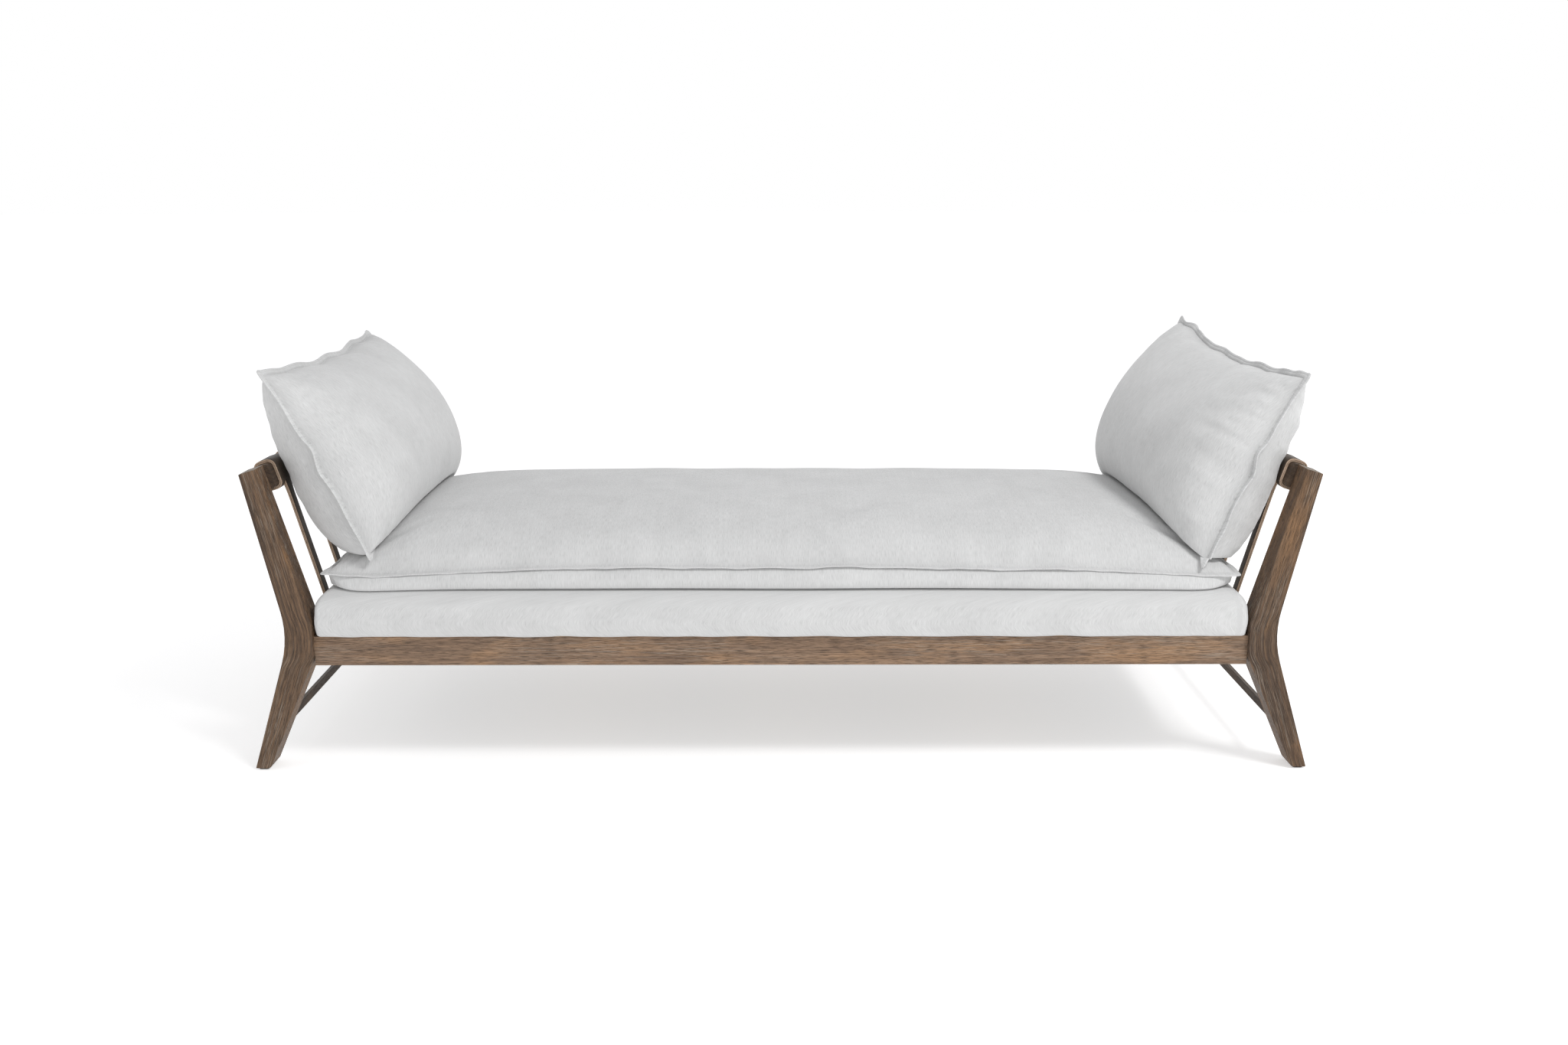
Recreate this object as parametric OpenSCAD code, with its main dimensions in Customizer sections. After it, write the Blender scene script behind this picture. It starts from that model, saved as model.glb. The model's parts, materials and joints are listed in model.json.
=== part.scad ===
// Daybed with two splayed end frames, leather strap ends, a fabric deck, a loose mattress and two pillows.
// Millimetres. +X runs along the length, -Y is the front, +Z is up, and Z = 0 is the floor.

/* [Overall] */
// Width across the feet
foot_span = 2134; // [2034:1:2234]
// Depth from the front legs' faces to the rear legs' faces
frame_depth = 838; // [778:1:898]

/* [Legs] */
// Thickness of a leg, front to back
leg_t = 54; // [44:1:60]
// Height of a leg's outer top corner
post_top_z = 611; // [580:1:640]
// Width of a leg's top
post_top_w = 31; // [28:1:36]
// Width of a leg's foot
foot_w = 30; // [24:1:36]
// Width of a leg at its waist
waist_w = 55; // [48:1:62]
// Lean of the top cut and of the crossrail, in degrees
lean = 17.5; // [14:0.5:20]
// Thickness of the glide under each foot
glide_t = 4; // [2:0.5:6]

/* [Seat frame] */
// Height of the rails' lower edge
rail_z = 220; // [200:1:230]
// Height of a rail
rail_h = 60; // [50:1:70]
// Thickness of the long rails
rail_t = 28; // [24:1:34]
// Thickness of the end rails
end_rail_t = 25; // [20:1:30]
// Set-back of the long rails from the legs' outer faces
rail_inset = 10; // [4:1:16]

/* [End frames] */
// Thickness of the crossrail between two posts
crossrail_w = 33; // [28:1:38]
// Height of the crossrail
crossrail_h = 50; // [44:1:56]
// Height of the low stretcher
stretcher_h = 14; // [10:1:20]
// Thickness of the low stretcher
stretcher_w = 12; // [8:1:16]
// Height of the low stretcher's lower edge
stretcher_z = 93; // [80:1:110]

/* [Leather straps] */
// Distance between strap centres
strap_pitch = 123; // [110:1:125]
// Thickness of a strap, two layers
strap_t = 6.4; // [4:0.2:8]
// Width of the loop around the crossrail
loop_w = 72; // [50:1:84]
// Width of the tail that hangs to the end rail
tail_w = 26; // [20:1:34]

/* [Deck] */
// Height of the fabric deck
deck_h = 92; // [80:1:100]
// Thickness of upholstery fabric
cloth_t = 2; // [1.5:0.5:3]

/* [Mattress] */
// Crown of the mattress above the deck
mattress_h = 146; // [130:1:160]
// Length of the mattress
mattress_l = 1836; // [1780:1:1840]
// Depth of the mattress
mattress_d = 790; // [740:1:800]

/* [Pillows] */
// Length of a pillow
pillow_l = 770; // [700:1:780]
// Height of a pillow between its seams
pillow_h = 427; // [400:1:440]
// Fullness of a pillow's face
pillow_face = 125; // [100:1:130]
// Fullness of a pillow's back
pillow_back = 92; // [70:1:94]

/* [Hidden] */
$fn = 48;

// Sides: -1 is left or front, 1 is right or rear.
SIDES = [-1, 1];
far = 3000;

// Leg outline, right-hand side, as corners [x, z, corner radius].
foot_x = foot_span / 2;
waist_step = 86;
waist_z = 281;
waist_fill = 7.5;
top_step = 14;
seat_face_up = 27;
seat_face_down = 44;
waist_x = foot_x - waist_step;
top_x = foot_x - top_step;
seat_x = waist_x + waist_fill - waist_w;
top_in_x = top_x - post_top_w * cos(lean);
top_in_z = post_top_z + post_top_w * sin(lean);
LEG_CORNERS = [
  [foot_x, glide_t, 1.5],
  [waist_x, waist_z, 210],
  [top_x, post_top_z, 2],
  [top_in_x, top_in_z, 2],
  [seat_x, waist_z + seat_face_up, 50],
  [seat_x, waist_z - seat_face_down, 60],
  [foot_x - foot_w, glide_t, 9]
];

leg_y = frame_depth / 2;
leg_mid_y = leg_y - leg_t / 2;
leg_back_y = leg_y - leg_t;

// Clearances: between close-fitting pieces, and between pieces that only lie side by side.
fit = 0.05;
gap = 0.4;

// Long rails and end rails. The end rails lie a little inside the legs' seat faces.
end_step = 4.5;
rail_y = leg_y - rail_inset - rail_t / 2;
rail_in_y = rail_y - rail_t / 2;
rail_top = rail_z + rail_h;
end_x = seat_x - end_step;

// Low stretcher: its inner face lies on the legs' inner faces, and its ends are let into the legs.
foot_in_x = foot_x - foot_w;
foot_slope = (foot_in_x - seat_x) / (waist_z - seat_face_down - glide_t);
stretcher_x = foot_in_x - (stretcher_z - glide_t) * foot_slope + 1.5;
stretcher_tenon = 18;

// Crossrail: its inner face stands proud of the posts.
crossrail_proud = 10;
crossrail_r = 9;
crossrail_x = top_in_x - crossrail_proud * cos(lean);
crossrail_z = top_in_z + crossrail_proud * sin(lean);
crossrail_dowel_len = 48;
CROSSRAIL_DOWELS = [0.3, 0.7];

// Foot glides, set in from the foot's outer edge.
glide_w = 20;
glide_d = 44;
glide_r = 5;
glide_edge = 4;

// Strap tail: it leaves the loop, leans in, and turns down the end rail.
strap_count = 6;
strap_y0 = -strap_pitch * (strap_count - 1) / 2;
strap_bend_z = 338;
strap_bend_r = 40;
strap_cut_r = 0.4;
strap_end_z = rail_z + 8;
strap_x = end_x + gap;
tail_lap = 12;
tail_top_z = crossrail_z - crossrail_h * cos(lean) + tail_lap;
tail_top_x = crossrail_x - (crossrail_z - tail_top_z) * tan(lean) - strap_t;

// Strap screws: shank, washer and domed head.
strap_screw_r = 2;
strap_screw_len = 18;
washer_r = 5.5;
washer_t = 1;
dome_r = 7.2;
dome_base_r = 5.4;
dome_h = 2.2;
SCREW_Z = [rail_z + 20, rail_z + 44];

// Bed bolt joints.
bolt_z = rail_z + rail_h / 2;
bolt_r = 4;
bolt_len = 98;
bolt_head_r = 9;
bolt_head_h = 6;
bolt_sink = 14;
bolt_clear = 0.5;
bolt_head_x = seat_x + waist_w - bolt_sink;
bolt_tip_x = bolt_head_x - bolt_len;
plug_t = 7;
plug_r = bolt_head_r + 2;
nut_r = 6;
nut_len = 16;
nut_x = seat_x - 44;
dowel_r = 4;
dowel_len = 56;
DOWEL_Z = [bolt_z - 18, bolt_z + 18];

// Corner blocks and braces.
block_leg = 62;
block_h = 44;
block_drop = 8;
brace_w = 60;
brace_h = 22;
brace_drop = 2;
brace_x = 452;

// Corner screws: how far each goes into its rail, and where its head sits in the block.
corner_screw_r = 2.2;
corner_screw_bite = 16;
corner_head_r = 4.5;
corner_head_h = 3;
corner_head_at = 18;
corner_screw_in = block_leg * 0.3;
corner_screw_up = 12;

// Deck.
deck_top = rail_top + deck_h;
deck_x = end_x - gap;
deck_y = leg_y - 1;
deck_edge_r = 18;
deck_corner_r = 12;
deck_board_w = 44;
deck_board_h = 54;
cross_web_count = 11;
long_web_count = 4;
web_w = 50;
web_t = 2;
web_margin = 150;
web_end = 8;
dust_t = 1;
turn_under = 22;
deck_slack = 0.5;
deck_in_x = deck_x - cloth_t - deck_slack;
deck_in_y = deck_y - cloth_t - deck_slack;
deck_floor = rail_top + cloth_t;
web_z = deck_floor + deck_board_h;

// Mattress.
seam_z = 46;
crown_steps = 12;
crown_end_power = 9;
crown_side_power = 3.4;
wrap_t = 18;
layer_gap = 0.2;
rest_gap = 1;

// Pillows: the lower seam line, the tilt and the turn of each one.
pillow_tilt = 26.4;
pillow_foot_x = 815;
pillow_foot_z = 431;
pillow_steps = 14;
pillow_y = -2;
turn_right = 3;
strap_gap = 1.2;

// ---------- helpers ----------

function unit(v) = v / norm(v);

// Points of the arc that rounds corner b of the path a-b-c.
function corner_arc(a, b, c, r) =
  let (
    u = unit(a - b),
    v = unit(c - b),
    half = acos(u * v) / 2,
    reach = r / tan(half),
    mid = b + unit(u + v) * r / sin(half),
    start = b + u * reach - mid,
    finish = b + v * reach - mid,
    a0 = atan2(start[1], start[0]),
    swing = atan2(start[0] * finish[1] - start[1] * finish[0], start * finish),
    n = max(3, ceil(abs(swing) / 5))
  )
  [for (i = [0:n]) mid + r * [cos(a0 + swing * i / n), sin(a0 + swing * i / n)]];

// Outline with each corner [x, y, radius] rounded.
function rounded(corners) =
  let (n = len(corners), at = [for (c = corners) [c[0], c[1]]])
  [for (i = [0:n - 1], p = corner_arc(at[(i + n - 1) % n], at[i], at[(i + 1) % n], corners[i][2])) p];

// Rounded rectangle from the origin, exact arcs.
module round_rect(w, h, r) {
  translate([r, 0]) square([w - 2 * r, h]);
  translate([0, r]) square([w, h - 2 * r]);
  for (x = [r, w - r], y = [r, h - r]) translate([x, y]) circle(r);
}

// Extrudes an X-Z outline along Y, between two places.
module along_y(y0, y1) {
  translate([0, y1, 0]) rotate([90, 0, 0]) linear_extrude(y1 - y0) children();
}

// Extrudes a Y-Z outline along X, centred.
module along_x(length) {
  translate([-length / 2, 0, 0]) rotate([90, 0, 90]) linear_extrude(length) children();
}

// A rod along X between two places.
module rod_x(x0, x1, r) {
  translate([x0, 0, 0]) rotate([0, 90, 0]) cylinder(h = x1 - x0, r = r);
}

// Copies a right-hand piece to one side.
module to_side(side) {
  if (side > 0) children();
  else mirror([1, 0, 0]) children();
}

// ---------- end frames ----------

module leg_outline() {
  polygon(rounded(LEG_CORNERS));
}

// Everything that is bored out of the right-hand leg with its rail joint at Y = row * rail_y.
module leg_joint_bores(row) {
  translate([0, row * rail_y, bolt_z]) {
    rod_x(seat_x - 1, far, bolt_r + bolt_clear);
    rod_x(bolt_head_x, far, plug_r);
  }
  for (z = DOWEL_Z)
    translate([0, row * rail_y, z]) rod_x(seat_x - 1, seat_x + dowel_len / 2, dowel_r + fit);
}

module stretcher_outline() {
  translate([stretcher_x, stretcher_z]) rotate(-lean) square([stretcher_w, stretcher_h]);
}

module stretcher_bar() {
  along_y(-leg_back_y - stretcher_tenon, leg_back_y + stretcher_tenon) stretcher_outline();
}

module crossrail_dowel_places() {
  for (s = CROSSRAIL_DOWELS) {
    x = crossrail_x + crossrail_w / 2 * cos(lean) - crossrail_h * s * sin(lean);
    z = crossrail_z - crossrail_w / 2 * sin(lean) - crossrail_h * s * cos(lean);
    for (row = SIDES) translate([x, row * leg_back_y, z]) rotate([90, 0, 0]) children();
  }
}

module leg(side, row) {
  color("#6f5644")
    to_side(side)
      difference() {
        along_y(min(row * leg_y, row * leg_back_y), max(row * leg_y, row * leg_back_y)) leg_outline();
        leg_joint_bores(row);
        stretcher_bar();
        crossrail_dowel_places() cylinder(h = crossrail_dowel_len + 2, r = dowel_r + fit, center = true);
      }
}

module crossrail_outline(grow) {
  translate([crossrail_x, crossrail_z])
    rotate(-lean)
      translate([-grow, -crossrail_h - grow])
        round_rect(crossrail_w + 2 * grow, crossrail_h + 2 * grow, crossrail_r + grow);
}

module crossrail(side) {
  color("#3f3128")
    to_side(side)
      difference() {
        along_y(-leg_back_y, leg_back_y) crossrail_outline(0);
        crossrail_dowel_places() cylinder(h = crossrail_dowel_len + 2, r = dowel_r + fit, center = true);
      }
}

module crossrail_dowels() {
  color("#c9a877")
    for (side = SIDES)
      to_side(side) crossrail_dowel_places() cylinder(h = crossrail_dowel_len, r = dowel_r, center = true);
}

module stretcher(side) {
  color("#4b3a2e") to_side(side) stretcher_bar();
}

module foot_glides() {
  color("#2b2725")
    for (side = SIDES, row = SIDES)
      to_side(side)
        translate([foot_x - glide_edge - glide_w, row * leg_mid_y - glide_d / 2, 0])
          linear_extrude(glide_t) round_rect(glide_w, glide_d, glide_r);
}

// ---------- leather straps ----------

module tail_outline() {
  run = (tail_top_x - strap_x) / (tail_top_z - strap_bend_z);
  polygon(rounded([
    [strap_x, strap_end_z, strap_cut_r],
    [strap_x, strap_bend_z, strap_bend_r],
    [tail_top_x, tail_top_z, strap_cut_r],
    [tail_top_x + strap_t + 1, tail_top_z, strap_cut_r],
    [strap_x + strap_t, strap_bend_z - run * strap_t / 2, strap_bend_r + strap_t],
    [strap_x + strap_t, strap_end_z, strap_cut_r]
  ]));
}

// Everything outside the tails' inner faces, below the loops.
module tail_side(clear) {
  polygon([
    [strap_x - clear, strap_end_z],
    [strap_x - clear, strap_bend_z],
    [tail_top_x - clear, tail_top_z],
    [far, tail_top_z],
    [far, strap_end_z]
  ]);
}

module strap(side, index) {
  y = strap_y0 + (index - 1) * strap_pitch;
  color("#5a4636")
    to_side(side)
      difference() {
        union() {
          along_y(y - loop_w / 2, y + loop_w / 2)
            difference() {
              crossrail_outline(strap_t);
              crossrail_outline(0);
            }
          along_y(y - tail_w / 2, y + tail_w / 2)
            difference() {
              tail_outline();
              crossrail_outline(0);
            }
        }
        for (z = SCREW_Z) translate([0, y, z]) rod_x(end_x - 1, foot_x, strap_screw_r + 2 * fit);
      }
}

module strap_screw_places() {
  for (i = [0:strap_count - 1], z = SCREW_Z) translate([0, strap_y0 + i * strap_pitch, z]) children();
}

module strap_screws(side) {
  color("#8a7a5c")
    to_side(side)
      strap_screw_places() {
        rod_x(end_x - strap_screw_len, strap_x + strap_t, strap_screw_r);
        rod_x(strap_x + strap_t, strap_x + strap_t + washer_t, washer_r);
        translate([strap_x + strap_t + washer_t, 0, 0])
          rotate([0, 90, 0])
            intersection() {
              translate([0, 0, dome_h - dome_r]) sphere(dome_r);
              cylinder(h = dome_h, r = dome_base_r);
            }
      }
}

// ---------- seat frame ----------

module long_rail(row) {
  color("#8a6e56")
    difference() {
      translate([-seat_x, row * rail_y - rail_t / 2, rail_z]) cube([2 * seat_x, rail_t, rail_h]);
      for (side = SIDES)
        to_side(side)
          translate([0, row * rail_y, 0]) {
            translate([0, 0, bolt_z]) rod_x(bolt_tip_x - 2, seat_x + 1, bolt_r + bolt_clear);
            translate([nut_x, -row * rail_t / 2, bolt_z])
              rotate([row * 90, 0, 0])
                translate([0, 0, -rail_t / 2 - nut_len / 2]) cylinder(h = rail_t, r = nut_r + fit);
            for (z = DOWEL_Z) translate([0, 0, z]) rod_x(seat_x - dowel_len / 2, seat_x + 1, dowel_r + fit);
          }
      corner_screw_bores();
    }
}

module end_rail(side) {
  color("#7b614c")
    to_side(side)
      difference() {
        translate([end_x - end_rail_t, -rail_in_y, rail_z]) cube([end_rail_t, 2 * rail_in_y, rail_h]);
        strap_screw_places() rod_x(end_x - strap_screw_len - 0.5, end_x + 1, strap_screw_r + fit);
        corner_screw_bores();
      }
}

module bed_bolts() {
  color("#77746e")
    for (side = SIDES, row = SIDES)
      to_side(side)
        translate([0, row * rail_y, bolt_z]) {
          rod_x(bolt_tip_x, bolt_head_x, bolt_r);
          rod_x(bolt_head_x, bolt_head_x + bolt_head_h, bolt_head_r);
        }
}

module barrel_nuts() {
  color("#8d8a83")
    for (side = SIDES, row = SIDES)
      to_side(side)
        difference() {
          translate([nut_x, row * rail_y, bolt_z])
            rotate([90, 0, 0]) cylinder(h = nut_len, r = nut_r, center = true);
          translate([0, row * rail_y, bolt_z]) rod_x(bolt_tip_x, bolt_head_x, bolt_r + fit);
        }
}

module bolt_plugs() {
  color("#5f4a3b")
    for (side = SIDES, row = SIDES)
      to_side(side)
        intersection() {
          translate([0, row * rail_y, bolt_z]) rod_x(seat_x + waist_w - plug_t, far, plug_r - fit);
          along_y(-leg_y, leg_y) leg_outline();
        }
}

module rail_dowels() {
  color("#c9a877")
    for (side = SIDES, row = SIDES, z = DOWEL_Z)
      to_side(side)
        translate([0, row * rail_y, z])
          rod_x(seat_x - dowel_len / 2 + 1, seat_x + dowel_len / 2 - 1, dowel_r);
}

// Places of the four corner blocks, each as seen from the right rear inside corner.
module at_corners() {
  for (side = SIDES, row = SIDES)
    to_side(side)
      mirror([0, row > 0 ? 0 : 1, 0])
        translate([end_x - end_rail_t, rail_in_y, rail_top - block_h - block_drop]) children();
}

// The two screws of a corner block: +Z points out of the rail, and Z = 0 is the rail's face.
module corner_screw_places() {
  translate([-corner_screw_in, 0, block_h / 2 - corner_screw_up]) rotate([90, 0, 0]) children();
  translate([0, -corner_screw_in, block_h / 2 + corner_screw_up]) rotate([0, -90, 0]) children();
}

module corner_screw_rod(r) {
  translate([0, 0, -corner_screw_bite]) cylinder(h = corner_screw_bite + corner_head_at, r = r);
}

module corner_screw_bores() {
  at_corners() corner_screw_places() corner_screw_rod(corner_screw_r + fit);
}

module corner_blocks() {
  color("#b99466")
    at_corners()
      difference() {
        linear_extrude(block_h) polygon([[0, 0], [-block_leg, 0], [0, -block_leg]]);
        corner_screw_places() {
          corner_screw_rod(corner_screw_r + fit);
          translate([0, 0, corner_head_at]) cylinder(h = block_leg, r = corner_head_r + 1);
        }
      }
}

module corner_screws() {
  color("#77746e")
    at_corners()
      corner_screw_places() {
        corner_screw_rod(corner_screw_r);
        translate([0, 0, corner_head_at]) cylinder(h = corner_head_h, r = corner_head_r);
      }
}

module brace(x) {
  color("#b99466")
    translate([x - brace_w / 2, -rail_in_y, rail_top - brace_h - brace_drop])
      cube([brace_w, 2 * rail_in_y, brace_h]);
}

// ---------- deck ----------

// Rounded block of the deck, made smaller all round by an inset, with an open underside when open is true.
module deck_block(inset) {
  w = 2 * (deck_x - inset);
  d = 2 * (deck_y - inset);
  h = deck_h - inset;
  r = deck_edge_r - inset;
  intersection() {
    along_y(-leg_y, leg_y)
      translate([-w / 2, rail_top]) {
        round_rect(w, h, r);
        square([w, h / 2]);
      }
    along_x(2 * foot_x)
      translate([-d / 2, rail_top]) {
        round_rect(d, h, r);
        square([d, h / 2]);
      }
    translate([-w / 2, -d / 2, 0]) linear_extrude(far) round_rect(w, d, deck_corner_r);
  }
}

module deck_cover() {
  color("#d9dadc")
    difference() {
      deck_block(0);
      intersection() {
        deck_block(cloth_t);
        translate([-far / 2, -far / 2, rail_top + cloth_t]) cube([far, far, far]);
      }
      translate([-deck_x + turn_under, -deck_y + turn_under, rail_top - 1])
        cube([2 * (deck_x - turn_under), 2 * (deck_y - turn_under), 2 * cloth_t]);
    }
}

module deck_foam() {
  color("#efe6c8")
    intersection() {
      deck_block(cloth_t + layer_gap);
      translate([-far / 2, -far / 2, web_z + 2 * web_t]) cube([far, far, far]);
    }
}

module deck_frame_long(row) {
  color("#c9a877")
    translate([-deck_in_x + deck_corner_r,
               row * (deck_in_y - deck_board_w / 2) - deck_board_w / 2, deck_floor])
      cube([2 * (deck_in_x - deck_corner_r), deck_board_w, deck_board_h]);
}

module deck_frame_end(side) {
  color("#c9a877")
    translate([side * (deck_in_x - deck_corner_r - deck_board_w / 2) - deck_board_w / 2,
               -deck_in_y + deck_board_w, deck_floor])
      cube([deck_board_w, 2 * (deck_in_y - deck_board_w), deck_board_h]);
}

// Elastic webbing stapled across the deck frame.
module deck_webbing_cross() {
  span = 2 * (deck_in_x - web_margin);
  color("#3a3a3a")
    for (i = [0:cross_web_count - 1])
      translate([-span / 2 + i * span / (cross_web_count - 1) - web_w / 2, -deck_in_y + web_end, web_z])
        cube([web_w, 2 * (deck_in_y - web_end), web_t]);
}

module deck_webbing_long() {
  span = 2 * (deck_in_y - web_margin);
  color("#4a4a4a")
    for (i = [0:long_web_count - 1])
      translate([-deck_in_x + deck_corner_r + web_end,
                 -span / 2 + i * span / (long_web_count - 1) - web_w / 2, web_z + web_t])
        cube([2 * (deck_in_x - deck_corner_r - web_end), web_w, web_t]);
}

module dust_cover() {
  color("#1d1d1f")
    translate([-deck_x + turn_under + deck_slack, -deck_y + turn_under + deck_slack, rail_top])
      cube([2 * (deck_x - turn_under - deck_slack), 2 * (deck_y - turn_under - deck_slack), dust_t]);
}

// ---------- mattress ----------

// Height above the seam at a share t of the way from the middle to an edge.
function crown(t, rise, power) = rise * pow(max(0, 1 - pow(abs(t), power)), 0.62);

// Closed outline of a crowned cushion section, half width by rise above and drop below the seam.
function cushion_section(half, rise, drop, power) = concat(
  [for (i = [-crown_steps:crown_steps])
    let (t = sin(90 * i / crown_steps)) [half * t, crown(t, rise, power)]],
  [for (i = [crown_steps - 1:-1:-crown_steps + 1])
    let (t = sin(90 * i / crown_steps)) [half * t, -drop * pow(1 - pow(abs(t), 14), 0.5)]]
);

// Mattress solid, made smaller all round by an inset. Its underside lies on the deck.
module mattress_shape(inset) {
  rise = mattress_h - seam_z - inset;
  drop = seam_z - rest_gap - inset;
  translate([0, 0, deck_top + seam_z])
    intersection() {
      along_y(-mattress_d / 2, mattress_d / 2)
        polygon(cushion_section(mattress_l / 2 - 3 * inset, rise, drop, crown_end_power));
      along_x(mattress_l)
        polygon(cushion_section(mattress_d / 2 - 3 * inset, rise, drop, crown_side_power));
    }
}

module mattress_cover() {
  color("#dcdddf")
    difference() {
      mattress_shape(0);
      mattress_shape(cloth_t);
    }
}

module mattress_wrap() {
  color("#f4f4f2")
    difference() {
      mattress_shape(cloth_t + layer_gap);
      mattress_shape(wrap_t);
    }
}

module mattress_core() {
  color("#efe6c8") mattress_shape(wrap_t + layer_gap);
}

// ---------- pillows ----------

// Pillow section across its height, from the lower seam at 0 to the upper seam, face on the positive side.
function pillow_section(inset) =
  let (h = pillow_h - 4 * inset)
  concat(
    [for (i = [0:pillow_steps])
      let (t = (1 - cos(180 * i / pillow_steps)) / 2)
      [(pillow_face - inset) * pow(max(0, sin(180 * pow(t, 0.756))), 0.6), 2 * inset + h * t]],
    [for (i = [pillow_steps - 1:-1:1])
      let (t = (1 - cos(180 * i / pillow_steps)) / 2)
      [-(pillow_back - inset) * pow(max(0, sin(180 * pow(t, 0.70))), 0.42), 2 * inset + h * t]]
  );

// Pillow outline along its length: full in the middle, closing on the end seams.
function pillow_plan(inset) =
  let (half = pillow_l / 2 - 2 * inset)
  concat(
    [for (i = [-pillow_steps:pillow_steps])
      let (t = sin(90 * i / pillow_steps)) [half * t, (pillow_face - inset) * pow(1 - pow(abs(t), 5), 0.5)]],
    [for (i = [pillow_steps - 1:-1:-pillow_steps + 1])
      let (t = sin(90 * i / pillow_steps)) [half * t, -(pillow_back - inset) * pow(1 - pow(abs(t), 5), 0.5)]]
  );

// A pillow standing on its lower seam, face towards -X.
module pillow_lens(inset) {
  intersection() {
    along_y(-pillow_l / 2, pillow_l / 2) mirror([1, 0]) polygon(pillow_section(inset));
    linear_extrude(far) mirror([1, 0, 0]) rotate(90) mirror([0, 1]) polygon(pillow_plan(inset));
  }
}

// The pillow where it leans at the right-hand end, dented by what it rests on.
module pillow_placed(inset, turn) {
  difference() {
    translate([pillow_foot_x, pillow_y, pillow_foot_z])
      rotate([0, pillow_tilt, 0]) rotate([0, 0, turn]) pillow_lens(inset);
    translate([0, 0, rest_gap + inset]) {
      mattress_shape(0);
      translate([-far / 2, -far / 2, deck_top + seam_z - far]) cube([far, far, far]);
    }
    along_y(-far, far) {
      crossrail_outline(strap_t + strap_gap + inset);
      tail_side(strap_gap + inset);
    }
  }
}

module pillow_cover(side) {
  turn = side > 0 ? turn_right : 0;
  color("#d5d6d8")
    to_side(side)
      difference() {
        pillow_placed(0, turn);
        pillow_placed(cloth_t, turn);
      }
}

module pillow_insert(side) {
  color("#f2f0ea") to_side(side) pillow_placed(cloth_t + layer_gap, side > 0 ? turn_right : 0);
}

// ---------- nodes ----------

leg(-1, -1);  // leg_front_left
leg(1, -1);  // leg_front_right
leg(-1, 1);  // leg_rear_left
leg(1, 1);  // leg_rear_right
long_rail(-1);  // front_rail
long_rail(1);  // rear_rail
end_rail(-1);  // end_rail_left
end_rail(1);  // end_rail_right
crossrail(-1);  // crossrail_left
crossrail(1);  // crossrail_right
stretcher(-1);  // stretcher_left
stretcher(1);  // stretcher_right
strap(-1, 1);  // strap_left_1
strap(-1, 2);  // strap_left_2
strap(-1, 3);  // strap_left_3
strap(-1, 4);  // strap_left_4
strap(-1, 5);  // strap_left_5
strap(-1, 6);  // strap_left_6
strap(1, 1);  // strap_right_1
strap(1, 2);  // strap_right_2
strap(1, 3);  // strap_right_3
strap(1, 4);  // strap_right_4
strap(1, 5);  // strap_right_5
strap(1, 6);  // strap_right_6
strap_screws(-1);  // strap_screws_left
strap_screws(1);  // strap_screws_right
bed_bolts();
barrel_nuts();
bolt_plugs();
rail_dowels();
crossrail_dowels();
corner_blocks();
corner_screws();
brace(-brace_x);  // brace_left
brace(0);  // brace_middle
brace(brace_x);  // brace_right
foot_glides();
deck_frame_long(-1);  // deck_frame_front
deck_frame_long(1);  // deck_frame_rear
deck_frame_end(-1);  // deck_frame_left
deck_frame_end(1);  // deck_frame_right
deck_webbing_cross();
deck_webbing_long();
deck_foam();
deck_cover();
dust_cover();
mattress_cover();
mattress_wrap();
mattress_core();
pillow_cover(-1);  // pillow_cover_left
pillow_insert(-1);  // pillow_insert_left
pillow_cover(1);  // pillow_cover_right
pillow_insert(1);  // pillow_insert_right
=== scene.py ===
import json
import math
import random

import bpy
import numpy as np
from mathutils import Matrix, Vector


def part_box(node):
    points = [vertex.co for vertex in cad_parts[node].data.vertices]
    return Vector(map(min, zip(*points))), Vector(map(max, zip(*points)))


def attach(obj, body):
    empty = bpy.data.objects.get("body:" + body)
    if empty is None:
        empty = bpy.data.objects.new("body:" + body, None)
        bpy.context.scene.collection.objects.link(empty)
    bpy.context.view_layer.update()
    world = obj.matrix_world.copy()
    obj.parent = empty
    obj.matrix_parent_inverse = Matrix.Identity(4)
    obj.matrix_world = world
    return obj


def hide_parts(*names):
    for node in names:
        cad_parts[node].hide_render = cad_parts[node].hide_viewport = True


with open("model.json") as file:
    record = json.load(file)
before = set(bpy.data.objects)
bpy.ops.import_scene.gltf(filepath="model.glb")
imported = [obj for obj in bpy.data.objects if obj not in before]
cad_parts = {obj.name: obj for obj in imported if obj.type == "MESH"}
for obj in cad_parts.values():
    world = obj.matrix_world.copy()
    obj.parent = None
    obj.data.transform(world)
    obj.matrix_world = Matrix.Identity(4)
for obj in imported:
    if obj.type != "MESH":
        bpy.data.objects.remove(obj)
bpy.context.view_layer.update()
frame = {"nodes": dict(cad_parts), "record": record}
NODES = frame["nodes"]
SIDES = ("left", "right")

# ---------- sizes, from the CAD design ----------

# Heights and half sizes read off the frame.
DECK_LOW, DECK_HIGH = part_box("deck_cover")
MATTRESS_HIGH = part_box("mattress_cover")[1]
SEAM_Z = DECK_HIGH.z + 0.046
MATTRESS_X = MATTRESS_HIGH.x
MATTRESS_Y = MATTRESS_HIGH.y
MATTRESS_RISE = MATTRESS_HIGH.z - SEAM_Z
MATTRESS_FLANGE = 0.012

# Crossrail section: its inner top corner, its size, and the lean of the end frames.
LEAN = math.radians(17.5)
RAIL_CORNER = (1.0139, 0.6233)
RAIL_SECTION = (0.033, 0.050)
RAIL_ROUND = 0.009

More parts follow.
